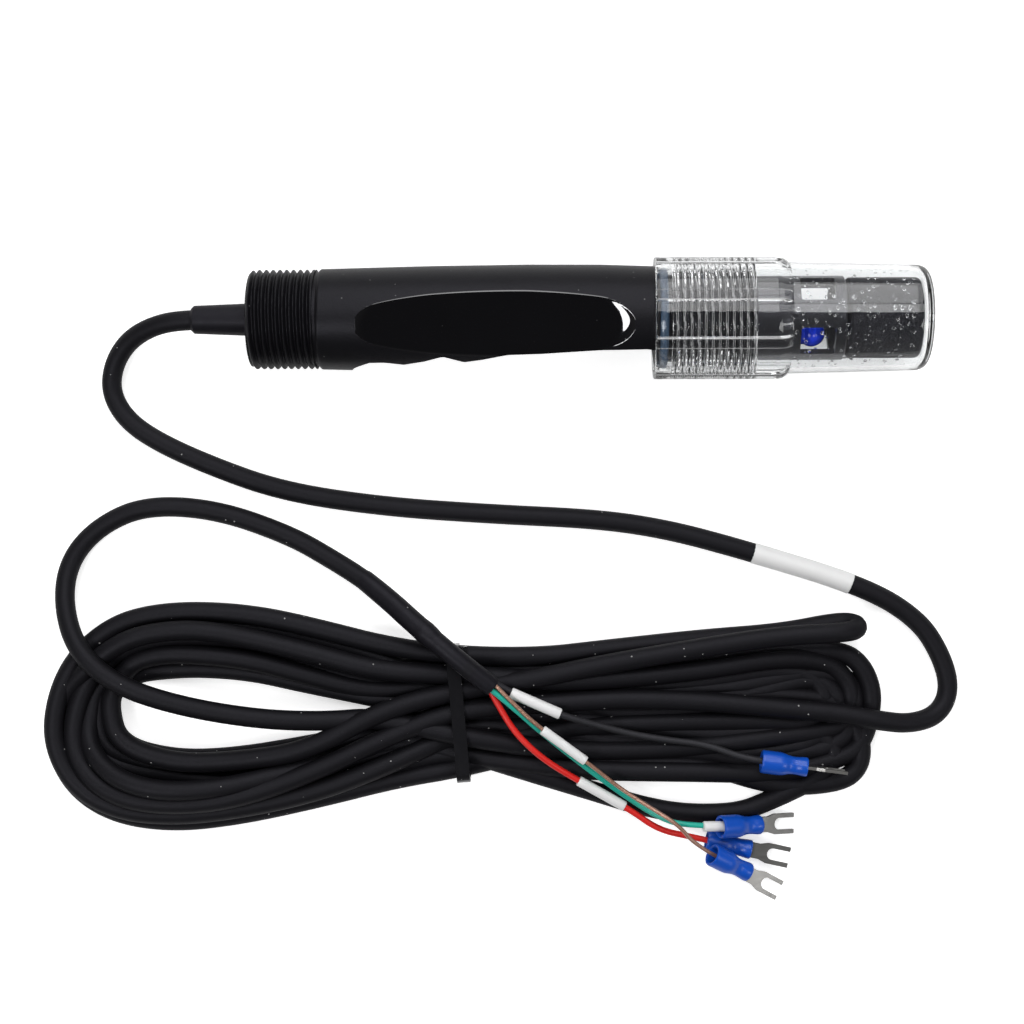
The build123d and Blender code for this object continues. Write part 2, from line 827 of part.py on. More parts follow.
# Leads, their markers and their fork terminals
for colour, lead in leads.items():
    drawn_mouth, heading, dip, roll = terminals[colour]
    rear_mouth = Vector(*drawn_mouth) + cord_shift
    terminal = Plane(origin=rear_mouth).rotated((0, dip, heading))
    crimp_start = sleeve_length - crimp_length
    lead_end = Vector(*drawn_mouth) + terminal.x_dir * (crimp_start + crimp_grip)
    lead_points = [*lead["route"], lead_end]
    save(cord_tube(f"lead_{colour}", lead_points, lead["radius"]), f"lead_{colour}")

    lead_marker = straight_sleeve(
        lead["marker_from"],
        lead["marker_to"],
        lead["marker_length"],
        lead["marker_r"],
        lead["radius"] + lead_marker_clearance,
    )
    save(lead_marker, f"marker_{colour}")

    with BuildPart() as sleeve:
        with BuildSketch(Plane(origin=rear_mouth, x_dir=terminal.x_dir, z_dir=-terminal.y_dir)):
            with BuildLine():
                waist = crimp_start + crimp_length / 2
                Polyline(
                    (waist, sleeve_waist_r),
                    (sleeve_length, sleeve_front_r),
                    (sleeve_length, crimp_r + seat_clearance),
                    (crimp_start, crimp_r + seat_clearance),
                    (crimp_start, sleeve_bore_r),
                    (0, sleeve_bore_r),
                    (0, sleeve_rear_r),
                    (crimp_start, sleeve_rear_r),
                    (waist, sleeve_waist_r),
                )
            make_face()
        revolve(axis=Axis(rear_mouth, terminal.x_dir))
    save(sleeve.part, f"sleeve_{colour}")

    side = terminal.y_dir.rotate(Axis((0, 0, 0), terminal.x_dir), roll)
    fork_plane = Plane(
        origin=rear_mouth + terminal.x_dir * sleeve_length,
        x_dir=terminal.x_dir,
        z_dir=terminal.x_dir.cross(side),
    )
    with BuildPart() as fork:
        with BuildSketch(fork_plane.offset(-fork_thickness / 2)):
            with BuildLine():
                Polyline(
                    (0, fork_root_width / 2),
                    (fork_slot_start / 2, fork_root_width / 2),
                    (fork_slot_start, fork_width / 2),
                    (fork_length, fork_width / 2),
                    (fork_length, -fork_width / 2),
                    (fork_slot_start, -fork_width / 2),
                    (fork_slot_start / 2, -fork_root_width / 2),
                    (0, -fork_root_width / 2),
                    close=True,
                )
            make_face()
            slot_r = fork_slot / 2
            with Locations((fork_slot_start + slot_r, 0)):
                Circle(slot_r, mode=Mode.SUBTRACT)
            slot_open = fork_length - fork_slot_start - slot_r
            with Locations((fork_length - slot_open / 2, 0)):
                Rectangle(slot_open, fork_slot, mode=Mode.SUBTRACT)
        extrude(amount=fork_thickness)
        with BuildSketch(Plane(origin=fork_plane.origin, z_dir=-terminal.x_dir)):
            Circle(crimp_r)
            Circle(lead["radius"], mode=Mode.SUBTRACT)
        extrude(amount=crimp_length - seat_clearance)
    save(fork.part, f"fork_{colour}")
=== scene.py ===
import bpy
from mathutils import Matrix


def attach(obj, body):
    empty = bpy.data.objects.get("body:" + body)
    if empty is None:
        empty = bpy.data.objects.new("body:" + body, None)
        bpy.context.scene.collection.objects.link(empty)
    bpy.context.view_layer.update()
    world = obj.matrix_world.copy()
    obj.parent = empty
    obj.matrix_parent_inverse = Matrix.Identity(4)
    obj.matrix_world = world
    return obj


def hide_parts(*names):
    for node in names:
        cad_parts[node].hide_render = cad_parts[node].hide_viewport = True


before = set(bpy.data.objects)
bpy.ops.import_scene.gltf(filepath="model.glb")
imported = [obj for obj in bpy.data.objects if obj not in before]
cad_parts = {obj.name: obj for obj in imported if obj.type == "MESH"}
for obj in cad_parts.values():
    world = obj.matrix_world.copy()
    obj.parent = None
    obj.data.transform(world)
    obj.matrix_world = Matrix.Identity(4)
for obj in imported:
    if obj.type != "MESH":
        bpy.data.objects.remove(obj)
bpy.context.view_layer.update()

import math
import random

import bmesh
import bpy
import numpy as np
from mathutils import Vector

MM = 0.001

# Camera: looks straight down from this height, over this point of the floor
CAMERA_HEIGHT = 520.0
CAMERA_X = -20.1
CAMERA_Y = -51.3
LENS = 66.8
# What one pixel of the photograph shows at the height of the probe's axis
PIXEL_MM = 0.265
PIXEL_HEIGHT = 16.5
PHOTO_CENTRE = 512

# Probe's axis, as in the CAD part
REAR_CENTRE = Vector((-89.432, 0, 13.169)) * MM
AXIS = Vector((0.9995151, 0, 0.0311373))
UP = Vector((-0.0311373, 0, 0.9995151))
SIDE = Vector((0, 1, 0))

CABLE_R = 2.7
# How far the cable's underside stays above the floor
CABLE_LIFT = 0.02
CABLE_END_STATION = -11.25
CABLE_OUT_STATION = -19.05

# First stretch of the cable, from the boot round to the hank, in mm
CABLE_ROUTE = (
    (-116.6, -1.4, 10.2),
    (-123.6, -4.9, 6.9),
    (-128.2, -11.0, 4.1),
    (-129.4, -18.4, 2.7),
    (-125.6, -25.6, 2.6),
    (-118.0, -31.4, 2.6),
    (-104.2, -37.9, 2.6),
    (-83.2, -45.6, 2.6),
    (-55.5, -49.8, 2.6),
    (-25.0, -51.9, 2.6),
    (3.0, -53.2, 2.6),
    (21.5, -55.9, 2.7),
    (40.6, -60.9, 2.9),
    (75.5, -71.4, 2.9),
    (90.5, -80.4, 2.7),
    (96.9, -90.6, 2.6),
    (99.1, -99.6, 2.8),
    (95.6, -106.4, 4.0),
    (87.6, -108.6, 6.4),
    (79.0, -107.6, 8.0),
)
# Where its marker tube starts and ends along x. The cable crosses there more than once, and only
# the stretch above this y carries the tube.
CABLE_MARKER_X = (45.4, 72.2)
CABLE_MARKER_Y = -75.0
# Share of the tube's length, radius
CABLE_MARKER_RADII = ((0, 2.6), (0.009, 2.86), (0.5, 2.83), (0.991, 2.86), (1, 2.6))
# Far end of the cable: out of the hank, round the left, and back over the tie
CABLE_END_ROUTE = (
    (-56.6, -106.6, 7.0),
    (-70.0, -107.6, 9.4),
    (-88.1, -106.9, 10.6),
    (-109.1, -103.3, 11.4),
    (-126.0, -97.6, 12.6),
    (-137.0, -88.4, 10.6),
    (-141.7, -75.8, 5.8),
    (-140.5, -64.2, 2.9),
    (-132.4, -55.0, 2.6),
    (-119.6, -49.4, 2.6),
    (-100.4, -50.6, 2.6),
    (-80.3, -57.7, 2.6),
    (-68.6, -64.4, 3.6),
    (-60.4, -69.4, 5.8),
)
SHRINK_ROUTE = (
    (-60.4, -69.4, 5.8),
    (-53.8, -74.4, 8.6),
    (-46.2, -81.0, 12.3),
    (-38.3, -87.5, 14.8),
    (-30.4, -93.9, 14.9),
    (-25.2, -97.9, 14.0),
)
# Heat shrink: share of its length, radius. It has a step about half way along.
SHRINK_RADII = (
    (0.0, 2.74), (0.01, 2.8), (0.1, 2.9), (0.3, 2.98), (0.45, 2.98), (0.5, 3.14), (0.54, 3.0), (0.58, 2.74),
    (0.8, 2.68), (0.985, 2.72), (1.0, 2.6),
)

# Hank. The left end's outline as the photograph shows it, in pixels, with its inward direction.
LEFT_OUTLINE = (
    (400, 787, -0.25, -0.97),
    (320, 807, -0.22, -0.975),
    (240, 824, -0.13, -0.99),
    (172, 831, 0.0, -1.0),
    (110, 821, 0.35, -0.94),
    (66, 790, 0.75, -0.66),
    (44, 740, 1.0, -0.05),
    (50, 690, 0.97, 0.25),
    (72, 648, 0.75, 0.66),
    (110, 617, 0.42, 0.91),
    (150, 605, 0.2, 0.98),
    (200, 601.5, 0.0, 1.0),
    (260, 606, -0.12, 0.99),
    (320, 619, -0.24, 0.97),
    (390, 637, -0.24, 0.97),
)
TIE_X = 459
# Each turn of the hank in the order that the cable takes them. "tie" is where it passes the tie
# before each half. "inset" says how far inside the left outline it runs, and at what height:
# outline point, pixels, mm. "skip" names outline points that the turn leaves out. "right" is its
# half on the right of the tie: pixel, pixel, mm.
HANK_TURNS = (
    {
        "tie": ((709, 7.7), (664, 2.7)),
        "inset": ((0, 52, 8.0), (1, 35, 9.0), (2, 25, 10.2), (3, 25, 10.2), (4, 24, 9.4), (5, 24, 7.5),
                  (6, 27, 6.0), (7, 30, 5.6), (9, 34, 5.4), (13, 34, 5.0), (14, 35, 3.6)),
        "right": ((540, 670, 2.6), (600, 668, 2.6), (700, 660, 2.6), (780, 649, 2.6), (842, 650, 4.0),
                  (862, 665, 4.2), (872, 690, 3.6), (870, 715, 3.0), (862, 742, 2.8), (845, 757, 2.8),
                  (780, 774, 3.2), (700, 772, 5.2), (600, 771, 5.2), (540, 766, 4.5)),
    },
    {
        "tie": ((755, 3.0), (716, 2.7)),
        "skip": (4, 6),
        "inset": ((0, 59, 2.6), (2, 67, 2.6), (3, 72, 2.6), (5, 70, 2.6), (7, 61, 2.6), (8, 57, 2.6),
                  (9, 62, 2.6), (10, 66, 2.6), (13, 66, 2.5), (14, 62, 2.5)),
        "right": ((540, 706, 2.5), (600, 700, 2.5), (700, 696, 2.5), (780, 694, 2.5), (835, 700, 2.5),
                  (855, 722, 2.5), (862, 748, 2.5), (858, 768, 2.5), (842, 781, 2.5), (800, 786, 2.5),
                  (760, 782, 2.5), (700, 762, 2.5), (600, 765, 2.5), (540, 752, 2.6)),
    },
    {
        "tie": ((731, 3.0), (656, 6.5)),
        "inset": ((0, 25, 7.0), (1, 15, 6.9), (3, 15, 6.8), (4, 12, 6.9), (5, 8.5, 6.8), (6, 7.5, 6.6),
                  (7, 8, 6.2), (9, 9, 5.5), (14, 9.8, 5.2)),
        "right": ((540, 657, 4.8), (600, 650, 4.4), (700, 639, 4.0), (780, 633, 3.8), (836, 622, 4.6),
                  (856, 623, 6.6), (858, 630, 10.0), (838, 633, 12.4), (780, 636, 11.4), (700, 648, 10.2),
                  (600, 665, 9.4), (540, 678, 8.6)),
    },
    {
        "tie": ((690, 7.7), (682, 2.9)),
        "skip": (4, 6),
        "inset": ((0, 79, 9.5), (1, 57, 9.8), (2, 63, 7.7), (3, 68, 7.4), (5, 70, 6.5), (7, 61, 6.0),
                  (8, 58, 6.0), (9, 50, 6.0), (10, 50, 6.5), (11, 53, 6.5), (12, 55, 6.0), (13, 58, 5.0),
                  (14, 57, 3.5)),
        "right": ((540, 690, 3.0), (600, 690, 2.8), (700, 682, 2.8), (768, 670, 2.8), (804, 671, 2.8),
                  (824, 688, 2.8), (824, 709, 2.8), (804, 723, 3.0), (768, 721, 3.4), (700, 721, 4.0),
                  (600, 724, 4.0), (540, 733, 3.6)),
    },
    {
        "tie": ((743, 2.8), (700, 2.7)),
        "inset": ((0, 47, 2.8), (1, 42, 6.0), (2, 38, 11.0), (3, 38, 12.6), (4, 40, 11.4), (5, 42, 8.6),
                  (6, 43, 5.0), (7, 44, 3.2), (8, 46, 2.8), (9, 50, 2.6), (13, 49, 2.6), (14, 48, 2.6)),
        "right": ((540, 712, 2.6), (600, 720, 2.5), (700, 735, 2.5), (775, 729, 2.5), (822, 733, 2.5),
                  (838, 752, 2.5), (820, 776, 2.5), (788, 792, 2.5), (765, 802, 2.5), (745, 810, 2.5),
                  (720, 813.5, 2.5), (680, 813, 2.5), (640, 805.5, 2.5), (600, 793, 2.5), (560, 781, 2.5),
                  (520, 769, 3.2)),
    },
    {
        "tie": ((750, 2.7), (697, 2.7)),
        "inset": ((0, 24, 2.7), (1, 25, 2.7), (2, 42, 2.7), (3, 56, 2.7), (4, 56, 2.7), (5, 50, 2.7),
                  (6, 36, 2.7), (7, 25, 2.7), (8, 20, 2.7), (9, 20, 2.7), (13, 20, 2.7), (14, 22, 2.7)),
        "right": ((540, 700, 2.5), (600, 712, 2.5), (700, 709, 2.5), (770, 688, 2.5), (812, 677, 2.5),
                  (836, 690, 2.5), (838, 712, 2.5), (822, 735, 2.5), (780, 752, 2.5), (700, 754, 2.5),
                  (600, 740, 2.5), (540, 727, 2.5)),
    },
    {
        "tie": ((724, 2.7), (690, 2.7)),
        "inset": ((0, 38, 2.7), (1, 43, 2.7), (2, 54, 2.7), (3, 64, 2.7), (4, 65, 2.7), (5, 60, 2.7),
                  (6, 57, 2.7), (7, 50, 2.7), (8, 40, 2.7), (9, 35, 2.7), (13, 35, 2.7), (14, 36, 2.7)),
        "right": ((540, 694, 2.6), (600, 692, 2.6), (700, 690, 2.6), (748, 684, 2.6), (812, 671, 2.6),
                  (848, 676, 2.6), (856, 700, 2.6), (850, 728, 2.6), (836, 743, 2.6), (798, 754, 2.6),
                  (750, 761, 2.6), (690, 748, 2.6), (615, 736, 2.6), (540, 748, 2.6)),
    },
    {
        "tie": ((768, 2.6), (674, 7.7)),
        "inset": ((0, 9.3, 2.5), (4, 8.5, 2.5), (5, 8, 2.5), (6, 9, 2.5), (7, 13, 4.4), (8, 25, 8.4),
                  (9, 27, 9.8), (11, 28, 9.6), (12, 34, 9.0), (14, 36, 8.4)),
        "right": ((540, 681, 6.8), (600, 680, 6.4), (700, 671, 6.0), (780, 657, 5.6), (826, 661, 4.4),
                  (843, 675, 3.6), (851, 690, 3.3), (850, 710, 3.0), (840, 728, 3.0), (780, 736, 4.0),
                  (700, 747, 4.2), (600, 751, 4.3), (540, 748, 5.8)),
    },
)
# Cable on its way through the hank to the tie, and from the tie to its far end
HANK_IN = (
    (840, 713, 7.8), (800, 710, 7.6), (760, 706, 7.4), (700, 701, 7.2), (640, 699, 7.2), (600, 700, 7.4),
    (540, 704, 7.6),
)
TIE_OUT = (736, 7.7)

# Thin leads, as in the CAD part. "end" is where the wire stops in its crimp.
LEADS = {
    "red": {
        "radius": 0.85, "marker_r": 1.4, "marker_length": 14.4,
        "marker": ((-2.2, -123.6, 8.65), (11.8, -131.6, 7.35)),
        "route": ((-26.0, -98.8, 13.1), (-23.6, -103.2, 12.7), (-19.4, -110.2, 12.2),
                  (-12.4, -117.0, 11.8), (-3.6, -122.8, 8.8), (11.8, -131.6, 7.35), (19.4, -137.2, 6.4),
                  (28.6, -139.6, 3.3)),
        "end": (39.55, -141.96, 3.3),
    },
    "green": {
        "radius": 0.75, "marker_r": 1.4, "marker_length": 8.5,
        "marker": ((31.2, -135.64, 10.44), (41.8, -135.97, 7.28)),
        "route": ((-25.6, -98.6, 14.8), (-21.0, -102.4, 13.8), (-13.0, -109.6, 12.3),
                  (-2.2, -118.4, 10.5), (9.1, -127.0, 7.6), (18.6, -133.2, 8.2), (26.4, -135.5, 11.87)),
        "end": (42.09, -135.96, 7.15),
    },
    "copper": {
        "radius": 0.55, "marker_r": 1.3, "marker_length": 14.4,
        "marker": ((-12.0, -109.3, 14.1), (1.4, -119.2, 12.4)),
        "route": ((-24.6, -97.3, 15.1), (-20.2, -101.8, 15.0), (-13.2, -108.4, 14.25),
                  (1.4, -119.2, 12.4), (8.4, -125.0, 11.4), (17.0, -130.4, 12.2), (24.2, -134.6, 13.4),
                  (29.4, -141.0, 11.5)),
        "end": (39.36, -146.44, 7.25),
    },
    "black": {
        "radius": 0.9, "marker_r": 1.5, "marker_length": 14.4,
        "marker": ((-20.4, -99.6, 12.25), (-5.4, -106.1, 11.95)),
        "route": ((-24.6, -97.0, 13.0), (-21.0, -99.2, 12.3), (-13.4, -102.8, 12.1),
                  (-5.4, -106.1, 11.95), (3.0, -108.6, 9.6), (11.5, -111.0, 8.2), (22.0, -112.8, 7.8),
                  (32.4, -113.9, 7.8), (43.2, -117.9, 9.0)),
        "end": (53.85, -119.23, 9.0),
    },
}

# Fork terminals, as in the CAD part: rear mouth of the sleeve, heading and dip in degrees
TERMINALS = {
    "black": ((46.9, -118.35, 9.0), -7.2, 0.0),
    "green": ((35.7, -135.85, 10.0), -1.0, 24.0),
    "red": ((32.7, -140.5, 3.3), -12.0, 0.0),
    "copper": ((33.6, -143.3, 9.7), -28.6, 20.5),
}
# Sleeve of a terminal from its mouth: distance, radius
SLEEVE_OUTLINE = (
    (4.5, 1.7), (4.5, 2.1), (0.5, 2.25), (0.1, 2.45), (0.0, 2.75), (0.15, 3.0), (0.5, 3.1), (3.0, 3.1),
    (5.2, 3.08), (5.9, 2.98), (6.8, 2.7), (7.8, 2.45), (9.0, 2.35), (10.2, 2.42), (11.2, 2.55),
    (12.1, 2.6), (12.4, 2.5), (12.5, 2.25), (12.5, 1.2),
)
SLEEVE_STEP = 0.35
# Radius above which a point of the outline lies outside, where the crimp leaves its dimple
SLEEVE_OUTER_R = 2.2
DIMPLE_STATION = 8.6
DIMPLE_LENGTH = 1.5
DIMPLE_DEPTH = 0.3

# Housing, as in the CAD part
THREAD_R = 13.2
THREAD_PITCH = 25.4 / 14
THREAD_DEPTH = 0.95
THREAD_CHAMFER = 0.8
# Thread's tooth: how steep its flanks are, how flat its crest, and over how many mm it fades out
TOOTH_SLOPE = 1.3
TOOTH_FLAT = 0.15
THREAD_FADE = 0.6
REAR_THREAD_END = 17.4
RUNOUT_DEPTH = 0.8
BARREL_START = 18.4
BARREL_END = 108.2
BARREL_LENGTH = BARREL_END - BARREL_START
BARREL_REAR_R = 13.3
BARREL_END_R = 13.7
BARREL_CHAMFER = 0.4
BARREL_SWELL = ((0.326, 0.8), (0.619, 1.1), (0.831, 1.0))
NECK_R = 11.5
NECK_END = 112.0
FRONT_THREAD_END = 131.2
HOUSING_END = 132.2
REAR_BORE_R = 10.2
REAR_BORE_DEPTH = 10.0
REAR_BORE_CHAMFER = 0.3
FRONT_BORE_R = 9.5
FRONT_BORE_START = 122.0
SCOOP_ANGLE = -12.0
SCOOP_FLOOR = ((29.0, 13.05), (64.0, 11.35), (101.6, 13.1))
SCOOP_REAR_COVE = 2.6
SCOOP_FRONT_COVE = 3.9
SCOOP_COVE_R = 11.0
SCOOP_END_BEND = 0.09
# Least half width for which the scoop's columns are worked out, and the share of a cove's radius
# beyond which the cove rises no further
SCOOP_LEAST_WIDTH = 0.5
SCOOP_COVE_STOP = 0.95
GRIP_OUTLINE = (
    (26.2, 13.6), (32.0, 12.15), (36.0, 12.1), (41.1, 12.6), (46.6, 11.9), (51.5, 10.8), (57.0, 12.1),
    (61.5, 11.6), (68.5, 10.45), (77.4, 10.2), (92.2, 9.35), (105.0, 9.1), (107.0, 9.4), (107.01, 20.0),
)
# How far the relief leans in below its edge, for each mm of height
GRIP_LEAN = 0.12
# Where the relief's columns stand on the stretches that have none of it, in degrees from straight up
GRIP_REST_ANGLES = (85, 95)
# Largest share of the barrel's radius for which the relief's columns are worked out
GRIP_LARGEST = 0.995

# Housing's mesh: columns in the scoop and on the three stretches around it, how far outside the
# scoop's edge the next column stands in degrees, and the distances between rings in mm
SCOOP_COLUMNS = 41
OUTER_COLUMNS = (56, 32, 20)
SCOOP_EDGE = 0.9
REAR_THREAD_STEP = 0.13
FRONT_THREAD_STEP = 0.14
BARREL_STEP = 0.5
SCOOP_STEP = 0.9
COVE_STEP = 0.2
COVE_REACH = 4
TINY = 1e-4
# How far above the barrel's surface the scoop's floor still counts as glossy
GLOSS_MARGIN = 0.02

# Clear cap, as in the CAD part
CAP_START = 106.9
CAP_MOUTH_END = 111.2
CAP_MOUTH_R = 14.05
CAP_BORE_R = 13.5
CAP_THREAD_END = 133.5
CAP_THREAD_DEPTH = 0.45
COLLAR_R = 16.1
# Collar's rounded rim: distance from its end, how far it stays under the collar's radius
COLLAR_RIM = ((0.0, 0.3), (0.15, 0.08), (0.4, 0.0))
COLLAR_END = 138.7
CUP_START = 142.3
CUP_R = 14.65
CUP_FRONT_R = 13.8
CAP_END = 179.0
CAP_CORNER_R = 3.0
CAP_INNER_CORNER_R = 1.5
CAP_WALL = 1.35
CAP_SIDES = 256
CAP_INNER_END = 177.0
RIB_COUNT = 8
RIB_ANGLE = 15.8
RIB_WIDTH = 3.25
RIB_HEIGHT = 0.6
RIB_START = 107.1
RIB_END = 142.0
# How far a rib falls between the collar's end and its own
RIB_FALL = 1.6
# Painted highlight: how much white is painted onto the crests of the internal thread and the flanks of the
# ribs, standing in for the light they catch
THREAD_PAINTED_HIGHLIGHT = 0.3
RIB_PAINTED_HIGHLIGHT = 0.35
# Shares of the height between which a crest or a flank gets its painted highlight
THREAD_HIGHLIGHT_SHARES = (0.72, 0.97)
RIB_HIGHLIGHT_SHARES = (0.05, 0.97)
DROPLET_COUNT = 300
DROPLET_LEAST_R = 0.16
DROPLET_MOST_R = 0.55
# How fast larger droplets get fewer, and how far the droplets spread around the cup, in radians
DROPLET_RATE = 8.0
DROPLET_SPREAD = 0.85
# How deep the droplets sit in the wall
DROPLET_SINK = 0.03

# How much of the floor's white doesn't depend on the light that falls on it
FLOOR_GLOW = 0.62
# Share of that glow which is seen through the clear cap
FLOOR_GLOW_THROUGH = 0.3
FLOOR_REACH = 1.6
# Light of the surroundings at the horizon and overhead
HORIZON_LIGHT = 0.2
ZENITH_LIGHT = 0.02

TIE_HEAD = (-34.3, -89.3, 8.6)
TIE_TURN = 5.0
# Its head, its raised mouth and the strap's cut tail: place, size, how far the edges are cut back
TIE_BLOCKS = (
    ((0, 0, 0), (4.6, 3.4, 3.6), 0.5),
    ((0, 1.0, 1.6), (3.4, 1.0, 1.2), 0.3),
    ((0, -2.0, 2.2), (3.2, 2.2, 0.9), 0.25),
)

TUBE_SIDES = 28
SLEEVE_SIDES = 48


def seen(px, py, z):
    """Point in mm, at height z, that the photograph shows at this pixel."""
    scale = PIXEL_MM * (CAMERA_HEIGHT - z) / (CAMERA_HEIGHT - PIXEL_HEIGHT)
    return (CAMERA_X + (px - PHOTO_CENTRE) * scale, CAMERA_Y - (py - PHOTO_CENTRE) * scale, z)


def on_axis(station):
    """Point on the probe's axis, in metres."""
    return REAR_CENTRE + AXIS * station * MM


def around(station, radius, angle):
    """Point at a station, a radius in mm and an angle in radians from straight up towards +Y."""
    return on_axis(station) + (UP * math.cos(angle) + SIDE * math.sin(angle)) * radius * MM


def metres(points, lowest=0.0):
    """Points in metres, none of them under a lowest height in mm."""
    return [Vector((x, y, max(z, lowest))) * MM for x, y, z in points]


def add_object(name, data):
    """New object in the scene, from its mesh, curve, light or camera."""
    obj = bpy.data.objects.new(name, data)
    bpy.context.scene.collection.objects.link(obj)
    return obj


# Camera

def make_camera():
    data = bpy.data.cameras.new("camera")
    data.lens = LENS
    data.sensor_width = 36
    camera = add_object("camera", data)
    camera.location = Vector((CAMERA_X, CAMERA_Y, CAMERA_HEIGHT)) * MM
    bpy.context.scene.camera = camera


# Cords

def nurbs(name, points, radius=0.0):
    """Cord along route points in metres: a NURBS curve, round when it has a radius in mm."""
    data = bpy.data.curves.new(name, "CURVE")
    data.dimensions = "3D"
    spline = data.splines.new("NURBS")
    spline.points.add(len(points) - 1)
    for control, point in zip(spline.points, points):
        control.co = (point[0], point[1], point[2], 1.0)
    spline.order_u = 3
    spline.use_endpoint_u = True
    spline.resolution_u = 10
    data.bevel_depth = radius * MM
    data.bevel_resolution = 5
    data.use_fill_caps = radius > 0
    return add_object(name, data)


def centreline(points):
    """Points along the NURBS curve of a route."""
    guide = nurbs("guide", points)
    bpy.context.view_layer.update()
    mesh = bpy.data.meshes.new_from_object(guide)
    line = [v.co.copy() for v in mesh.vertices]
    bpy.data.objects.remove(guide)
    bpy.data.meshes.remove(mesh)
    return line


def between(line, start, end):
    """The part of a line between two x positions, cut exactly at its ends."""
    part = []
    for a, b in zip(line, line[1:]):
        if start < a.x < end:
            part.append(a)
        part.extend(a.lerp(b, (x - a.x) / (b.x - a.x)) for x in (start, end) if a.x < x <= b.x)
    return part


def length_of(line):
    return sum((b - a).length for a, b in zip(line, line[1:]))


def hank_route():
    """Route points of the hank's turns, in mm, from the tie to the tie."""
    outline = range(len(LEFT_OUTLINE))
    points = []
    for turn in HANK_TURNS:
        where = [key[0] for key in turn["inset"]]
        insets = np.interp(outline, where, [key[1] for key in turn["inset"]])
        heights = np.interp(outline, where, [key[2] for key in turn["inset"]])
        before_left, before_right = turn["tie"]
        points.append(seen(TIE_X, *before_left))
        for number, (px, py, inward_x, inward_y) in enumerate(LEFT_OUTLINE):
            if number in turn.get("skip", ()):
                continue
            inset, height = insets[number], heights[number]
            points.append(seen(px + inset * inward_x, py + inset * inward_y, height))
        points.append(seen(TIE_X, *before_right))
        points.extend(seen(*place) for place in turn["right"])
    points.append(seen(TIE_X, *TIE_OUT))
    return points


def make_cable():
    start = [on_axis(CABLE_END_STATION), on_axis(CABLE_OUT_STATION)]
    drawn = list(CABLE_ROUTE) + [seen(*place) for place in HANK_IN]
    drawn += hank_route() + list(CABLE_END_ROUTE) + list(SHRINK_ROUTE[1:-1])
    route = start + metres(drawn, lowest=CABLE_R + CABLE_LIFT)
    return nurbs("main_cable", route, CABLE_R), route


# Mesh pieces

def new_mesh(name, vertices, faces, sharp=35.0):
    mesh = bpy.data.meshes.new(name)
    mesh.from_pydata([tuple(v) for v in vertices], [], faces)
    work = bmesh.new()
    work.from_mesh(mesh)
    bmesh.ops.recalc_face_normals(work, faces=work.faces)
    work.to_mesh(mesh)
    work.free()
    mesh.polygons.foreach_set("use_smooth", [True] * len(mesh.polygons))
    mesh.update()
    mesh.set_sharp_from_angle(angle=math.radians(sharp))
    return add_object(name, mesh)


def rings_to_mesh(name, rings, sharp=35.0, closed=False):
    """Skin over rings of equal length. Open ends are closed with a fan, unless the rings join up."""
    count = len(rings[0])
    vertices = [point for ring in rings for point in ring]
    faces = []
    last = len(rings) if closed else len(rings) - 1
    for i in range(last):
        a = i * count
        b = ((i + 1) % len(rings)) * count
        for j in range(count):
            k = (j + 1) % count
            faces.append((a + j, a + k, b + k, b + j))
    if not closed:
        for ring, flip in ((0, True), (len(rings) - 1, False)):
            centre = sum((Vector(p) for p in rings[ring]), Vector()) / count
            vertices.append(centre)
            tip = len(vertices) - 1
            for j in range(count):
                k = (j + 1) % count
                a, b = ring * count + j, ring * count + k
                faces.append((tip, b, a) if flip else (tip, a, b))
    return new_mesh(name, vertices, faces, sharp)


def ring_at(place, along, sides, radius_at, flatness=1.0):
    """Ring of points in metres across a direction. radius_at gives a radius in mm for each angle."""
    across = along.cross(Vector((0, 0, 1))).normalized()
    over = across.cross(along)
    ring = []
    for j in range(sides):
        turn = math.tau * j / sides
        outward = across * math.cos(turn) + over * math.sin(turn) * flatness
        ring.append(place + outward * radius_at(turn) * MM)
    return ring


def sweep(name, line, radii, flatness=1.0):
    """Tube along points in metres. radii are (share of the length, radius in mm)."""
    shares = np.concatenate(([0], np.cumsum([(b - a).length for a, b in zip(line, line[1:])])))
    shares = shares / shares[-1]
    wanted = sorted(set([r[0] for r in radii]) | set(shares))
    xs, ys, zs = (np.interp(wanted, shares, [p[i] for p in line]) for i in range(3))
    places = [Vector(p) for p in zip(xs, ys, zs)]
    sizes = np.interp(wanted, [r[0] for r in radii], [r[1] for r in radii])
    rings = []
    for i, (place, size) in enumerate(zip(places, sizes)):
        along = (places[min(i + 1, len(places) - 1)] - places[max(i - 1, 0)]).normalized()
        rings.append(ring_at(place, along, TUBE_SIDES, lambda turn, size=size: size, flatness))
    return rings_to_mesh(name, rings)


def finer(outline, step):
    """The same outline with points at most a step apart."""
    points = [outline[0]]
    for a, b in zip(outline, outline[1:]):
        count = max(1, round(math.dist(a, b) / step))
        for i in range(1, count + 1):
            points.append((a[0] + (b[0] - a[0]) * i / count, a[1] + (b[1] - a[1]) * i / count))
    return points


def make_sleeve(colour):
    """Turned sleeve of a terminal, with a dimple where it was crimped."""
    mouth, heading, dip = TERMINALS[colour]
    heading, dip = math.radians(heading), math.radians(dip)
    along = Vector((math.cos(heading) * math.cos(dip), math.sin(heading) * math.cos(dip), -math.sin(dip)))

    def dimple(distance, radius, turn):
        if radius < SLEEVE_OUTER_R:
            return 0.0
        near = math.exp(-(((distance - DIMPLE_STATION) / DIMPLE_LENGTH) ** 4))
        top = max(0.0, math.sin(turn)) ** 4
        return DIMPLE_DEPTH * near * top

    rings = []
    for distance, radius in finer(SLEEVE_OUTLINE, SLEEVE_STEP):
        def dimpled(turn, distance=distance, radius=radius):
            return radius - dimple(distance, radius, turn)

        place = (Vector(mouth) + along * distance) * MM
        rings.append(ring_at(place, along, SLEEVE_SIDES, dimpled))
    return rings_to_mesh("terminal_sleeve_" + colour, rings)


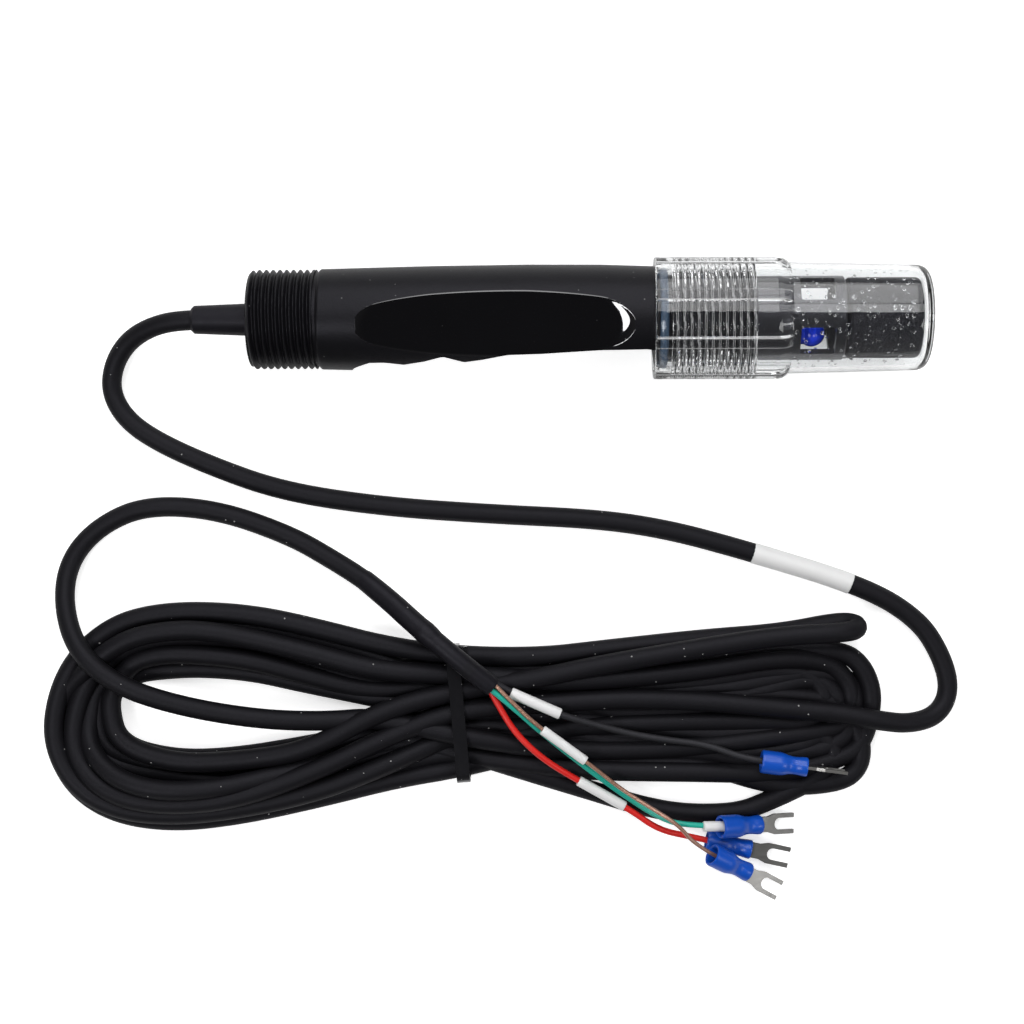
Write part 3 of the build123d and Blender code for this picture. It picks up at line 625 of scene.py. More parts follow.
def make_marker(name, start, end, length, radius, flatness):
    start, end = Vector(start) * MM, Vector(end) * MM
    end = start + (end - start).normalized() * length * MM
    line = [start.lerp(end, i / 8) for i in range(9)]
    rim = 0.25 / length
    radii = ((0, radius * 0.9), (rim, radius), (0.5, radius * 0.985), (1 - rim, radius), (1, radius * 0.9))
    return sweep(name, line, radii, flatness)


def thread_cut(station, angle, start, end):
    """How deep a thread cuts, from 0 at its crest to 1 at its root. It fades out at its ends."""
    phase = (station / THREAD_PITCH + angle / math.tau) % 1.0
    tooth = min(1.0, max(0.0, abs(2 * phase - 1) * TOOTH_SLOPE - TOOTH_FLAT))
    fade = min(1.0, max(0.0, (station - start) / THREAD_FADE), max(0.0, (end - station) / THREAD_FADE))
    return tooth * fade


def barrel_radius(station):
    shares = [0.0] + [s for s, _ in BARREL_SWELL] + [1.0]
    radii = [BARREL_REAR_R] + [THREAD_R + extra for _, extra in BARREL_SWELL] + [BARREL_END_R]
    radius = float(np.interp((station - BARREL_START) / BARREL_LENGTH, shares, radii))
    edge = min(station - BARREL_START, BARREL_END - station)
    return radius - max(0.0, BARREL_CHAMFER - edge)


def scoop_parabola(station):
    """Distance from the axis of the scoop's long floor: one parabola through its three points."""
    total = 0.0
    for i, (s, depth) in enumerate(SCOOP_FLOOR):
        term = depth
        for j, (other, _) in enumerate(SCOOP_FLOOR):
            if i != j:
                term *= (station - other) / (s - other)
        total += term
    return total


def scoop_floor(station, across=0.0):
    """The same floor with a cove up to the barrel's surface at each end. Off the middle it starts sooner."""
    bend = SCOOP_END_BEND * across**2
    rear = SCOOP_REAR_COVE + bend - (station - SCOOP_FLOOR[0][0])
    front = SCOOP_FRONT_COVE + bend - (SCOOP_FLOOR[-1][0] - station)
    into = min(max(rear, front, 0.0), SCOOP_COVE_STOP * SCOOP_COVE_R)
    return scoop_parabola(station) + SCOOP_COVE_R - math.sqrt(SCOOP_COVE_R**2 - into**2)


def scoop_half_angle(station):
    start, end = SCOOP_FLOOR[0][0], SCOOP_FLOOR[-1][0]
    station = min(max(station, start), end)
    radius = barrel_radius(station)
    width = math.sqrt(max(0.0, radius**2 - scoop_floor(station) ** 2))
    return math.asin(max(width, SCOOP_LEAST_WIDTH) / radius)


def grip_limit(station):
    """How far from the axis the relief leaves the barrel's -Y side."""
    return float(np.interp(station, [g[0] for g in GRIP_OUTLINE], [g[1] for g in GRIP_OUTLINE]))


def grip_angles(station):
    """Angles from straight up, towards -Y, between which the relief cuts the barrel."""
    if not GRIP_OUTLINE[0][0] < station < GRIP_OUTLINE[-1][0]:
        return tuple(math.radians(angle) for angle in GRIP_REST_ANGLES)
    radius = barrel_radius(station)
    limit = min(grip_limit(station), GRIP_LARGEST * radius)
    height = math.sqrt(radius**2 - limit**2)
    down = 2 * (GRIP_LEAN * limit + height) / (1 + GRIP_LEAN**2)
    return math.atan2(limit, height), math.atan2(limit - GRIP_LEAN * down, height - down)


def scoop_grip_angle(station):
    """Angle at which the relief meets the scoop's floor."""
    station = min(max(station, SCOOP_FLOOR[0][0]), SCOOP_FLOOR[-1][0])
    tilt = math.radians(SCOOP_ANGLE)
    limit = grip_limit(station)
    height = math.sqrt(max(0.0, barrel_radius(station) ** 2 - limit**2))
    floor = scoop_floor(station)
    side = limit - GRIP_LEAN * height + GRIP_LEAN * floor / math.cos(tilt)
    side /= 1 - GRIP_LEAN * math.tan(tilt)
    return -math.atan2(side, (floor + side * math.sin(tilt)) / math.cos(tilt))


def housing_radius(station, angle):
    """Radius of the housing without its scoop."""
    if station < REAR_THREAD_END:
        cut = THREAD_DEPTH * thread_cut(station, angle, -1.0, REAR_THREAD_END)
        return min(THREAD_R - cut, THREAD_R - THREAD_CHAMFER + station)
    if station < BARREL_START:
        return THREAD_R - RUNOUT_DEPTH
    if station <= BARREL_END:
        radius = barrel_radius(station)
        side = -math.sin(angle)
        limit = grip_limit(station)
        facing = side - GRIP_LEAN * math.cos(angle)
        if side > 0 and facing > 0 and limit < radius:
            height = math.sqrt(radius**2 - limit**2)
            radius = min(radius, (limit - GRIP_LEAN * height) / facing)
        return radius
    if station <= NECK_END:
        return NECK_R
    cut = THREAD_DEPTH * thread_cut(station, angle, NECK_END, FRONT_THREAD_END + THREAD_FADE)
    return min(THREAD_R - cut, THREAD_R - THREAD_CHAMFER + HOUSING_END - station)


def steps(start, end, size):
    """Evenly spaced stations from start to end, at most a size apart."""
    count = max(1, math.ceil((end - start) / size))
    return [start + (end - start) * i / count for i in range(count + 1)]


def make_housing():
    """Housing with helical threads. Its columns follow the edges of the scoop and of the relief."""
    scoop_start, scoop_end = SCOOP_FLOOR[0][0], SCOOP_FLOOR[-1][0]
    rear_cove_end, front_cove_start = scoop_start + COVE_REACH, scoop_end - COVE_REACH
    stations = steps(0.0, REAR_THREAD_END - TINY, REAR_THREAD_STEP)
    stations += [REAR_THREAD_END, BARREL_START - TINY]
    stations += steps(BARREL_START, scoop_start - TINY, BARREL_STEP)
    stations += steps(scoop_start, rear_cove_end, COVE_STEP)
    stations += steps(rear_cove_end, front_cove_start, SCOOP_STEP)[1:]
    stations += steps(front_cove_start, scoop_end, COVE_STEP)[1:]
    stations += steps(scoop_end + TINY, BARREL_END, BARREL_STEP)
    stations += [BARREL_END + TINY, NECK_END]
    stations += steps(NECK_END + TINY, HOUSING_END, FRONT_THREAD_STEP)
    rings = []
    gloss = []

    def columns(station):
        half = scoop_half_angle(station)
        high = math.radians(SCOOP_ANGLE) + half
        low = max(high - 2 * half, scoop_grip_angle(station))
        edge = math.radians(SCOOP_EDGE)
        upper, lower = grip_angles(station)
        last_stop = math.tau + low - edge
        stops = (high + edge, math.tau - lower, min(math.tau - upper, last_stop - edge), last_stop)
        for i in range(SCOOP_COLUMNS):
            yield low + (high - low) * i / (SCOOP_COLUMNS - 1), True
        for count, start, end in zip(OUTER_COLUMNS, stops, stops[1:]):
            last = count if end < stops[-1] else count - 1
            for i in range(count):
                yield start + (end - start) * i / last, False

    def plain_ring(station, radius):
        ring = [around(station, radius, angle) for angle, _ in columns(station)]
        rings.append(ring)
        gloss.extend([0.0] * len(ring))

    plain_ring(REAR_BORE_DEPTH, REAR_BORE_R)
    plain_ring(REAR_BORE_CHAMFER, REAR_BORE_R)
    plain_ring(0.0, REAR_BORE_R + REAR_BORE_CHAMFER)
    for station in stations:
        in_scoop = scoop_start <= station <= scoop_end
        ring = []
        for angle, within in columns(station):
            radius = housing_radius(station, angle)
            mark = 0.0
            if in_scoop and within:
                off = angle - math.radians(SCOOP_ANGLE)
                floor = scoop_floor(station, scoop_floor(station) * math.tan(off)) / math.cos(off)
                mark = 1.0 if floor < radius + GLOSS_MARGIN else 0.0
                radius = min(radius, floor)
            ring.append(around(station, radius, angle))
            gloss.append(mark)
        rings.append(ring)
    plain_ring(HOUSING_END, FRONT_BORE_R)
    plain_ring(FRONT_BORE_START, FRONT_BORE_R)
    obj = rings_to_mesh("threaded_housing", rings, sharp=45)
    attribute = obj.data.attributes.new("gloss", "FLOAT", "POINT")
    values = gloss + [0.0] * (len(obj.data.vertices) - len(gloss))
    attribute.data.foreach_set("value", values)
    return obj


def rib_height_at(angle):
    """Share of the rib's height at an angle: a flat top with rounded flanks."""
    step = math.tau / RIB_COUNT
    off = (angle - math.radians(RIB_ANGLE) + step / 2) % step - step / 2
    share = abs(off) * COLLAR_R / (RIB_WIDTH / 2)
    return max(0.0, 1 - share**8) ** 0.5 if share < 1 else 0.0


def cup_radius(station):
    """Outer radius of the cap's tapered cup."""
    return CUP_FRONT_R + (CUP_R - CUP_FRONT_R) * (CAP_END - station) / (CAP_END - CUP_START)


def make_cap():
    """Clear cap: ribbed collar and tapered cup, with the internal thread inside. Its thread crests and rib
    flanks are marked for a painted highlight.
    """
    outer = [(CAP_START + distance, COLLAR_R - drop) for distance, drop in COLLAR_RIM]
    outer += [(s, COLLAR_R) for s in steps(CAP_START + 0.8, COLLAR_END - 0.6, 1.0)]
    outer += [(COLLAR_END - 0.25, COLLAR_R - 0.03), (COLLAR_END, COLLAR_R - 0.12)]
    outer += [(s, COLLAR_R + (CUP_R - COLLAR_R) * (s - COLLAR_END) / (CUP_START - COLLAR_END))
              for s in steps(COLLAR_END + 0.4, CUP_START, 0.4)]
    front = CAP_END - CAP_CORNER_R
    outer += [(s, cup_radius(s)) for s in steps(CUP_START + 0.5, front, 1.5)]
    for i in range(1, 9):
        turn = math.pi / 2 * i / 8
        drop = CAP_CORNER_R * (1 - math.cos(turn))
        outer.append((front + CAP_CORNER_R * math.sin(turn), CUP_FRONT_R - drop))
    outer += [(CAP_END, r) for r in (9.0, 7.0, 4.0, 1.0)]
    inner_front = CUP_FRONT_R - CAP_WALL
    inner = [(CAP_INNER_END, r) for r in (1.0, 5.0, 9.0)]
    for i in range(7):
        turn = math.pi / 2 * (1 - i / 6)
        back = CAP_INNER_CORNER_R * (1 - math.sin(turn))
        drop = CAP_INNER_CORNER_R * (1 - math.cos(turn))
        inner.append((CAP_INNER_END - back, inner_front - drop))
    inner += [(s, cup_radius(s) - CAP_WALL) for s in reversed(steps(CUP_START, CAP_INNER_END - 2, 1.5))]
    inner += [(COLLAR_END - 1.2, CAP_BORE_R), (CAP_THREAD_END + 0.8, CAP_BORE_R)]
    thread = [(s, CAP_BORE_R) for s in reversed(steps(CAP_MOUTH_END + 0.3, CAP_THREAD_END, 0.15))]
    mouth = [(CAP_MOUTH_END, CAP_MOUTH_R), (CAP_START + 0.3, CAP_MOUTH_R), (CAP_START, CAP_MOUTH_R + 0.25)]
    rings = []
    crest_highlights = []
    for number, (station, radius) in enumerate(outer + inner + thread + mouth):
        on_outside = number < len(outer)
        ring = []
        for j in range(CAP_SIDES):
            angle = math.tau * j / CAP_SIDES
            size = radius
            crest = 0.0
            if on_outside and RIB_START <= station <= RIB_END:
                share = rib_height_at(angle)
                rise = RIB_HEIGHT
                if station > COLLAR_END:
                    fall = RIB_FALL * ((station - COLLAR_END) / (RIB_END - COLLAR_END)) ** 3
                    rise = max(0.0, COLLAR_R + RIB_HEIGHT - fall - radius)
                size = radius + rise * share
                # Painted highlight: white marked on the rib's flanks, for the light they catch
                crest = RIB_PAINTED_HIGHLIGHT if RIB_HIGHLIGHT_SHARES[0] < share < RIB_HIGHLIGHT_SHARES[1] else 0.0
            if not on_outside and CAP_MOUTH_END < station < CAP_THREAD_END and radius == CAP_BORE_R:
                cut = thread_cut(station, angle, CAP_MOUTH_END + 0.3, CAP_THREAD_END)
                size = radius + CAP_THREAD_DEPTH * cut
                # Painted highlight: white marked on the thread's crests, for the light they catch
                crest = THREAD_PAINTED_HIGHLIGHT if THREAD_HIGHLIGHT_SHARES[0] < cut < THREAD_HIGHLIGHT_SHARES[1] else 0.0
            ring.append(around(station, size, angle))
            crest_highlights.append(crest)
        rings.append(ring)
    obj = rings_to_mesh("clear_cap", rings, sharp=40, closed=True)
    # The crest attribute carries the painted highlight of the thread's crests and the ribs' flanks
    obj.data.attributes.new("crest", "FLOAT", "POINT").data.foreach_set("value", crest_highlights)
    return obj


def make_droplets():
    """Water beads on the inside of the cup, more of them towards the top."""
    chance = random.Random(7)
    vertices, faces = [], []
    rows, sides = 4, 10
    for _ in range(DROPLET_COUNT):
        station = chance.uniform(CUP_START - 1, CAP_INNER_END - 3)
        angle = chance.gauss(0, DROPLET_SPREAD)
        size = min(DROPLET_MOST_R, DROPLET_LEAST_R + chance.expovariate(DROPLET_RATE))
        height = size * chance.uniform(0.5, 0.65)
        long = chance.uniform(0.85, 1.3)
        radius = cup_radius(station) - CAP_WALL - DROPLET_SINK
        outward = UP * math.cos(angle) + SIDE * math.sin(angle)
        across = SIDE * math.cos(angle) - UP * math.sin(angle)
        base = len(vertices)
        for i in range(rows + 1):
            turn = math.pi / 2 * i / rows
            for j in range(sides):
                round_turn = math.tau * j / sides
                wobble = 1 + 0.08 * math.sin(2 * round_turn + size * 9)
                flat = math.cos(turn) * size * wobble
                point = on_axis(station) + outward * (radius - height * math.sin(turn)) * MM
                point += (AXIS * math.cos(round_turn) * long + across * math.sin(round_turn)) * flat * MM
                vertices.append(point)
        for i in range(rows):
            for j in range(sides):
                k = (j + 1) % sides
                a, b = base + i * sides, base + (i + 1) * sides
                faces.append((a + j, b + j, b + k, a + k))
        faces.append(tuple(base + j for j in range(sides)))
    return new_mesh("cap_droplets", vertices, faces, sharp=50)


def make_tie_head():
    """Head of the cable tie: a block with a raised mouth and the strap's cut tail."""
    centre = Vector(TIE_HEAD)
    turn = math.radians(TIE_TURN)
    vertices, faces = [], []
    for place, size, corner in TIE_BLOCKS:
        straight = 1 - 2 * corner / size[2]
        layers = ((-1, corner), (-straight, 0), (straight, 0), (1, corner))
        base = len(vertices)
        for level, inset in layers:
            for sx, sy in ((-1, -1), (1, -1), (1, 1), (-1, 1)):
                x = place[0] + sx * (size[0] / 2 - inset)
                y = place[1] + sy * (size[1] / 2 - inset)
                z = place[2] + level * size[2] / 2
                turned_x = x * math.cos(turn) - y * math.sin(turn)
                turned_y = x * math.sin(turn) + y * math.cos(turn)
                vertices.append((centre + Vector((turned_x, turned_y, z))) * MM)
        for i in range(3):
            for j in range(4):
                k = (j + 1) % 4
                a, b = base + i * 4, base + (i + 1) * 4
                faces.append((a + j, a + k, b + k, b + j))
        faces.append((base + 3, base + 2, base + 1, base))
        faces.append((base + 12, base + 13, base + 14, base + 15))
    return new_mesh("tie_head", vertices, faces, sharp=30)


# Materials

def fill(node, values):
    """Sets inputs of a node by name."""
    for name, value in values.items():
        node.inputs[name].default_value = value


def calculate(tree, operation, first, second):
    """Result of a maths node on two inputs, each a socket or a plain number."""
    node = tree.nodes.new("ShaderNodeMath")
    node.operation = operation
    for socket, value in zip(node.inputs, (first, second)):
        if isinstance(value, float):
            socket.default_value = value
        else:
            tree.links.new(value, socket)
    return node.outputs[0]


def detail_group():
    """Fine relief: gives a mask of its hollows and a normal."""
    tree = bpy.data.node_groups.new("fine_relief", "ShaderNodeTree")
    for name, value in (("Scale", 900.0), ("Height", 0.00002), ("Stretch", 1.0)):
        socket = tree.interface.new_socket(name=name, in_out="INPUT", socket_type="NodeSocketFloat")
        socket.default_value = value
    for name in ("Mask", "Blotch", "Dust"):
        tree.interface.new_socket(name=name, in_out="OUTPUT", socket_type="NodeSocketFloat")
    tree.interface.new_socket(name="Normal", in_out="OUTPUT", socket_type="NodeSocketVector")
    nodes, links = tree.nodes, tree.links
    given = nodes.new("NodeGroupInput")
    result = nodes.new("NodeGroupOutput")
    place = nodes.new("ShaderNodeTexCoord")
    stretch = nodes.new("ShaderNodeCombineXYZ")
    stretch.inputs[1].default_value = 1.0
    stretch.inputs[2].default_value = 1.0
    scaled = nodes.new("ShaderNodeVectorMath")
    scaled.operation = "MULTIPLY"
    links.new(given.outputs["Stretch"], stretch.inputs[0])
    links.new(place.outputs["Object"], scaled.inputs[0])
    links.new(stretch.outputs[0], scaled.inputs[1])
    fine = nodes.new("ShaderNodeTexNoise")
    fine.inputs["Detail"].default_value = 3.0
    links.new(scaled.outputs[0], fine.inputs["Vector"])
    links.new(given.outputs["Scale"], fine.inputs["Scale"])
    blotch = nodes.new("ShaderNodeTexNoise")
    fill(blotch, {"Scale": 55.0, "Detail": 4.0})
    links.new(place.outputs["Object"], blotch.inputs["Vector"])
    cells = nodes.new("ShaderNodeTexVoronoi")
    cells.inputs["Scale"].default_value = 420.0
    links.new(place.outputs["Object"], cells.inputs["Vector"])
    apart = nodes.new("ShaderNodeSeparateXYZ")
    links.new(cells.outputs["Color"], apart.inputs[0])
    small = calculate(tree, "LESS_THAN", cells.outputs["Distance"], DUST_R)
    few = calculate(tree, "GREATER_THAN", apart.outputs[0], DUST_LEFT_OUT)
    dust = calculate(tree, "MULTIPLY", small, few)
    bump = nodes.new("ShaderNodeBump")
    bump.inputs["Strength"].default_value = 1.0
    links.new(given.outputs["Height"], bump.inputs["Distance"])
    links.new(fine.outputs["Fac"], bump.inputs["Height"])
    links.new(fine.outputs["Fac"], result.inputs["Mask"])
    links.new(blotch.outputs["Fac"], result.inputs["Blotch"])
    links.new(dust, result.inputs["Dust"])
    links.new(bump.outputs["Normal"], result.inputs["Normal"])
    return tree


# Dust: radius of a speck as a share of its cell, and share of the cells that have none
DUST_R = 0.085
DUST_LEFT_OUT = 0.78
DUST_COLOUR = (0.75, 0.75, 0.74, 1)
# Colour whose strongest channel is under this is black, and its reflections get this tint
BLACK_BELOW = 0.02
BLACK_TINT = (0.89, 0.88, 1.0, 1)
RELIEF = detail_group()


def new_material(name):
    """New material, with its nodes, its links and its main shader."""
    material = bpy.data.materials.new(name)
    material.use_nodes = True
    tree = material.node_tree
    return material, tree.nodes, tree.links, tree.nodes["Principled BSDF"]


def surface(name, colour, roughness, scale=900.0, height=0.00002, stretch=1.0, variation=0.25, dust=0.0,
            metallic=0.0, coat=0.0, specular=0.5):
    """Opaque material with fine relief, soft blotches and a little dust."""
    material, nodes, links, shader = new_material(name)
    fill(shader, {"Metallic": metallic, "IOR": 1.5, "Specular IOR Level": specular})
    fill(shader, {"Coat Weight": coat, "Coat Roughness": 0.08})
    if max(colour) < BLACK_BELOW:
        fill(shader, {"Specular Tint": BLACK_TINT})
    relief = nodes.new("ShaderNodeGroup")
    relief.node_tree = RELIEF
    fill(relief, {"Scale": scale, "Height": height, "Stretch": stretch})
    shade = nodes.new("ShaderNodeMix")
    shade.data_type = "RGBA"
    low = [c * (1 - variation) for c in colour]
    high = [min(1.0, c * (1 + variation)) for c in colour]
    fill(shade, {"A": (*low, 1), "B": (*high, 1)})
    links.new(relief.outputs["Blotch"], shade.inputs["Factor"])
    dusty = nodes.new("ShaderNodeMix")
    dusty.data_type = "RGBA"
    dusty.inputs["B"].default_value = DUST_COLOUR
    amount = calculate(material.node_tree, "MULTIPLY", relief.outputs["Dust"], dust)
    links.new(amount, dusty.inputs["Factor"])
    links.new(shade.outputs["Result"], dusty.inputs["A"])
    links.new(dusty.outputs["Result"], shader.inputs["Base Color"])
    rough = nodes.new("ShaderNodeMapRange")
    fill(rough, {"To Min": max(0.02, roughness * 0.85), "To Max": min(1.0, roughness * 1.15)})
    links.new(relief.outputs["Mask"], rough.inputs["Value"])
    links.new(rough.outputs["Result"], shader.inputs["Roughness"])
    links.new(relief.outputs["Normal"], shader.inputs["Normal"])
    return material


def housing_material():
    """Matt moulding that turns glossy where the mesh marks the scoop."""
    matt_relief, glossy_relief = 0.00004, 0.0000005
    material = surface("moulded_housing", (0.0035, 0.0034, 0.0042), 0.42, scale=2600, height=matt_relief,
                       variation=0.2, dust=0.12, specular=0.2)
    nodes, links = material.node_tree.nodes, material.node_tree.links
    shader = nodes["Principled BSDF"]
    mark = nodes.new("ShaderNodeAttribute")
    mark.attribute_name = "gloss"
    rough_now = shader.inputs["Roughness"].links[0].from_socket
    smooth = nodes.new("ShaderNodeMix")
    smooth.inputs[3].default_value = 0.07
    links.new(mark.outputs["Fac"], smooth.inputs[0])
    links.new(rough_now, smooth.inputs[2])
    links.new(smooth.outputs[0], shader.inputs["Roughness"])
    links.new(mark.outputs["Fac"], shader.inputs["Coat Weight"])
    fill(shader, {"Coat IOR": 1.8, "Coat Roughness": 0.03})
    relief = [n for n in nodes if n.type == "GROUP"][0]
    height = nodes.new("ShaderNodeMapRange")
    fill(height, {"To Min": matt_relief, "To Max": glossy_relief})
    links.new(mark.outputs["Fac"], height.inputs["Value"])
    links.new(height.outputs["Result"], relief.inputs["Height"])
    return material


def clear(name, colour, ior, roughness=0.02, height=0.000004, scale=120.0, through=0.85):
    """Clear material. Light passes through it to what lies behind, so it casts a pale shadow."""
    material, nodes, links, shader = new_material(name)
    fill(shader, {"Base Color": (*colour, 1), "Roughness": roughness, "IOR": ior, "Transmission Weight": 1.0})
    relief = nodes.new("ShaderNodeGroup")
    relief.node_tree = RELIEF
    fill(relief, {"Scale": scale, "Height": height})
    links.new(relief.outputs["Normal"], shader.inputs["Normal"])
    passing = nodes.new("ShaderNodeBsdfTransparent")
    passing.inputs["Color"].default_value = (*(through * c for c in colour), 1)
    ray = nodes.new("ShaderNodeLightPath")
    mix = nodes.new("ShaderNodeMixShader")
    links.new(ray.outputs["Is Shadow Ray"], mix.inputs[0])
    links.new(shader.outputs[0], mix.inputs[1])
    links.new(passing.outputs[0], mix.inputs[2])
    links.new(mix.outputs[0], nodes["Material Output"].inputs["Surface"])
    return material


def cap_material():
    """Clear moulding, with a painted white highlight where the mesh marks a crest."""
    material = clear("clear_cap", (0.975, 0.985, 0.99), 1.5)
    nodes, links = material.node_tree.nodes, material.node_tree.links
    mark = nodes.new("ShaderNodeAttribute")
    mark.attribute_name = "crest"
    # Painted highlight: a white diffuse, mixed in by the crest mark
    painted_highlight = nodes.new("ShaderNodeBsdfDiffuse")
    painted_highlight.inputs["Color"].default_value = (0.95, 0.95, 0.96, 1)
    mix = nodes.new("ShaderNodeMixShader")
    surface_input = nodes["Material Output"].inputs["Surface"]
    links.new(mark.outputs["Fac"], mix.inputs[0])
    links.new(surface_input.links[0].from_socket, mix.inputs[1])
    links.new(painted_highlight.outputs[0], mix.inputs[2])
    links.new(mix.outputs[0], surface_input)
    return material


def make_materials():
    return {
        "moulded_black": surface("moulded_black", (0.010, 0.010, 0.011), 0.35, scale=2600,
                                 height=0.00002, dust=0.1),
        "housing": housing_material(),
        "clear_cap": cap_material(),
        "water": clear("water", (0.99, 0.995, 1.0), 1.33, roughness=0.0, through=0.95),
        "pale_ceramic": surface("pale_ceramic", (0.82, 0.81, 0.77), 0.8, scale=1500, height=0.00006),
        "blue_glass": surface("blue_glass", (0.012, 0.045, 0.75), 0.08, height=0.000001, coat=1.0,
                              variation=0.4),
        "silver": surface("silver", (0.75, 0.74, 0.70), 0.25, metallic=1.0),
        "stainless": surface("stainless", (0.62, 0.63, 0.65), 0.3, metallic=1.0, stretch=0.05),
        "epoxy": surface("epoxy", (0.01, 0.01, 0.011), 0.15, scale=200, height=0.00003),
        "wire_red": surface("wire_red", (0.70, 0.014, 0.010), 0.38, variation=0.15, height=0.00001),
        "wire_green": surface("wire_green", (0.012, 0.42, 0.32), 0.38, variation=0.15, height=0.00001),
        "wire_copper": surface("wire_copper", (0.40, 0.215, 0.15), 0.3, scale=2400, height=0.00012,
                               variation=0.4, metallic=0.6, coat=1.0),
        "wire_black": surface("wire_black", (0.011, 0.011, 0.012), 0.6, variation=0.2),
        "o_ring_rubber": surface("o_ring_rubber", (0.030, 0.055, 0.095), 0.35, height=0.00001),
        "sponge_foam": surface("sponge_foam", (0.006, 0.006, 0.007), 0.85, scale=1100, height=0.00025),
        "cable_jacket": surface("cable_jacket", (0.0052, 0.0050, 0.0062), 0.55, scale=1800,
                                height=0.00004, dust=0.45, specular=0.2),
        "heat_shrink": surface("heat_shrink", (0.0052, 0.0048, 0.0068), 0.5, scale=700, height=0.00005,
                               dust=0.35, specular=0.22),
        "tie_nylon": surface("tie_nylon", (0.006, 0.006, 0.007), 0.2, scale=90, height=0.0002, dust=0.2,
                             coat=1.0),
        "marker_white": surface("marker_white", (0.82, 0.82, 0.82), 0.35, scale=700, height=0.00002,
                                variation=0.04),
        "terminal_blue": surface("terminal_blue", (0.003, 0.078, 0.50), 0.32, scale=600, height=0.00004,
                                 variation=0.15),
        "tinned_copper": surface("tinned_copper", (0.30, 0.295, 0.285), 0.36, scale=900, height=0.00006,
                                 metallic=1.0, stretch=0.3, variation=0.35),
    }


# CAD nodes that are shown as they are, by the finish they take
CARRIED = {
    "moulded_black": ("sensor_guard", "stem_support"),
    "heat_shrink": ("cable_boot",),
    "pale_ceramic": ("reference_junction",),
    "blue_glass": ("glass_electrode",),
    "silver": ("silver_wire",),
    "stainless": ("temperature_probe",),
    "epoxy": ("potting_plug",),
    "wire_red": ("measuring_lead",),
    "wire_green": ("temperature_lead",),
    "o_ring_rubber": ("o_ring",),
    "tie_nylon": ("cable_tie",),
    "tinned_copper": ("fork_red", "fork_green", "fork_copper", "fork_black"),
    "sponge_foam": ("wetting_sponge",),
}


def paint(obj, finish):
    obj.data.materials.clear()
    obj.data.materials.append(MATERIALS[finish])


def dress(obj, finish, body, replaces=()):
    """Gives a piece its finish, parents it to the body it moves with, and hides the CAD parts that it stands
    for.
    """
    paint(obj, finish)
    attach(obj, body)
    if replaces:
        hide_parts(*replaces)


# Light and floor

def make_floor():
    """Pale floor, with some white of its own for what the camera sees."""
    corners = [(x * FLOOR_REACH, y * FLOOR_REACH, 0) for x, y in ((-1, -1), (1, -1), (1, 1), (-1, 1))]
    floor = new_mesh("floor", corners, [(0, 1, 2, 3)])
    material, nodes, links, shader = new_material("floor")
    fill(shader, {"Base Color": (0.93, 0.93, 0.93, 1), "Roughness": 0.9, "Specular IOR Level": 0.0})
    tree = material.node_tree
    ray = nodes.new("ShaderNodeLightPath")
    through = calculate(tree, "MULTIPLY", ray.outputs["Is Transmission Ray"], FLOOR_GLOW_THROUGH)
    seen_by = calculate(tree, "MAXIMUM", ray.outputs["Is Camera Ray"], through)
    glow = nodes.new("ShaderNodeEmission")
    links.new(calculate(tree, "MULTIPLY", seen_by, FLOOR_GLOW), glow.inputs["Strength"])
    both = nodes.new("ShaderNodeAddShader")
    links.new(shader.outputs[0], both.inputs[0])
    links.new(glow.outputs[0], both.inputs[1])
    links.new(both.outputs[0], nodes["Material Output"].inputs["Surface"])
    floor.data.materials.append(material)


def softbox(name, place, target, width, length, power, shape="RECTANGLE"):
    """Area light at a place, turned to its target. Metres and watts."""
    data = bpy.data.lights.new(name, "AREA")
    data.shape = shape
    data.size = width
    data.size_y = length
    data.energy = power
    light = add_object(name, data)
    light.location = place
    light.rotation_euler = (Vector(target) - Vector(place)).to_track_quat("-Z", "Y").to_euler()


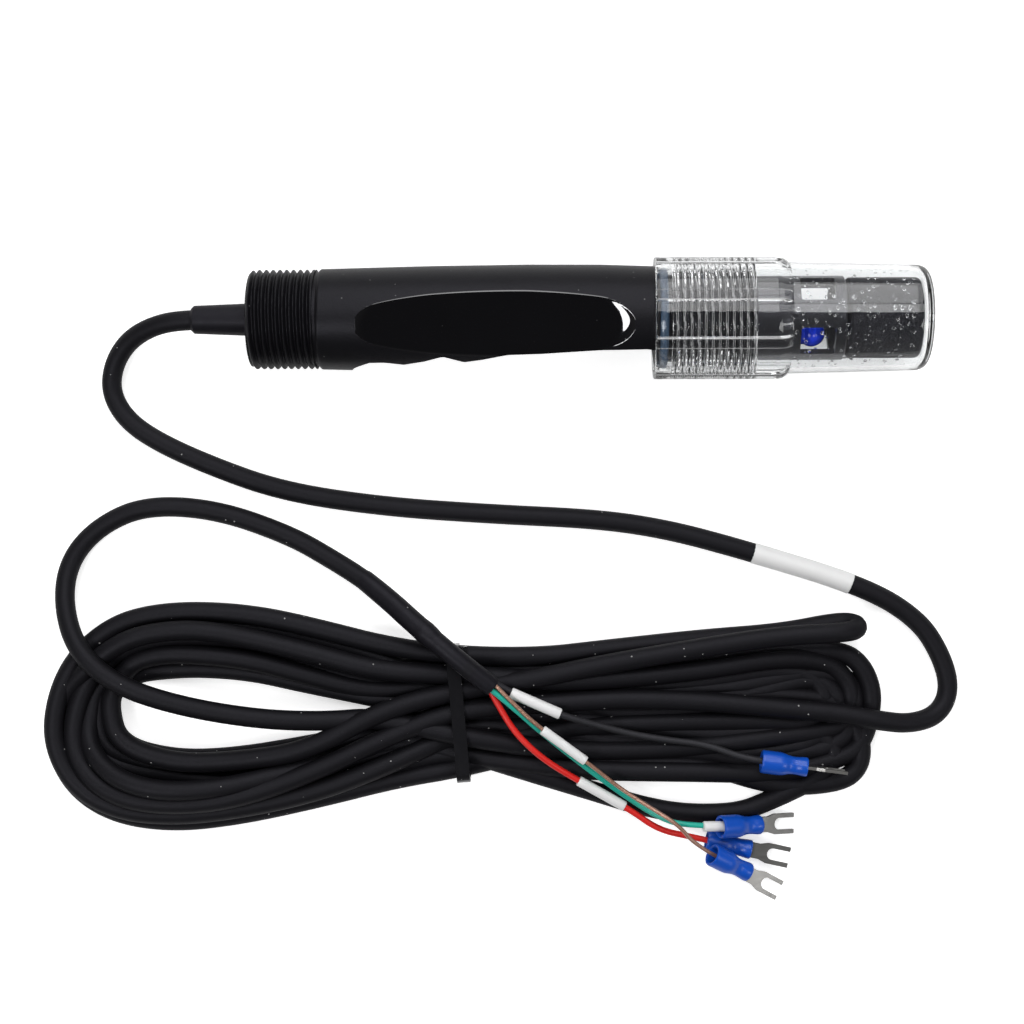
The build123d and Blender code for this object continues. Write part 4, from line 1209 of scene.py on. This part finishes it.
def make_light():
    middle = (-0.02, -0.05, 0.01)
    softbox("key_softbox", (0.0, 0.70, 0.62), middle, 0.8, 0.8, 5.4)
    softbox("top_softbox", (0.0, 0.243, 0.861), middle, 0.8, 0.28, 2.3)
    softbox("left_softbox", (-0.40, -0.35, 0.76), middle, 0.28, 0.34, 2.7, "ELLIPSE")
    softbox("right_softbox", (0.62, -0.30, 0.72), middle, 0.3, 0.3, 1.4)
    world = bpy.data.worlds.new("world")
    world.use_nodes = True
    nodes, links = world.node_tree.nodes, world.node_tree.links
    place = nodes.new("ShaderNodeTexCoord")
    apart = nodes.new("ShaderNodeSeparateXYZ")
    level = nodes.new("ShaderNodeMapRange")
    fill(level, {"From Min": 0.1, "From Max": 0.95, "To Min": HORIZON_LIGHT, "To Max": ZENITH_LIGHT})
    links.new(place.outputs["Generated"], apart.inputs[0])
    links.new(apart.outputs[2], level.inputs["Value"])
    links.new(level.outputs["Result"], nodes["Background"].inputs["Strength"])
    nodes["Background"].inputs["Color"].default_value = (1.0, 1.0, 1.0, 1)
    bpy.context.scene.world = world
    bpy.context.scene.view_settings.view_transform = "Standard"


# Build

make_camera()
MATERIALS = make_materials()

cable, cable_route = make_cable()
shrink = sweep("heat_shrink_end", centreline(metres(SHRINK_ROUTE)), SHRINK_RADII)
cable_line = centreline(cable_route)
marked_stretch = [point for point in cable_line if point.y > CABLE_MARKER_Y * MM]
marker_line = between(marked_stretch, CABLE_MARKER_X[0] * MM, CABLE_MARKER_X[1] * MM)
cable_marker = sweep("cable_marker_tube", marker_line, CABLE_MARKER_RADII, 0.98)
tie_head = make_tie_head()
dress(cable, "cable_jacket", body="probe", replaces=("cable", "cable_end", "hank"))
dress(shrink, "heat_shrink", body="probe", replaces=("end_shrink",))
dress(cable_marker, "marker_white", body="probe", replaces=("cable_marker",))
dress(tie_head, "tie_nylon", body="probe")
length_of(cable_line)

for colour, lead in LEADS.items():
    route = metres(lead["route"] + (lead["end"],))
    wire = nurbs("lead_wire_" + colour, route, lead["radius"])
    marker = make_marker(
        "lead_marker_" + colour, *lead["marker"], lead["marker_length"], lead["marker_r"], flatness=0.94
    )
    sleeve = make_sleeve(colour)
    dress(wire, "wire_" + colour, body="probe", replaces=("lead_" + colour,))
    dress(marker, "marker_white", body="probe", replaces=("marker_" + colour,))
    dress(sleeve, "terminal_blue", body="probe", replaces=("sleeve_" + colour,))
    length_of(centreline(route))

dress(make_housing(), "housing", body="probe", replaces=("housing",))
dress(make_cap(), "clear_cap", body="cap", replaces=("storage_cap",))
dress(make_droplets(), "water", body="cap")
for finish, names in CARRIED.items():
    for name in names:
        paint(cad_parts[name], finish)

make_floor()
make_light()
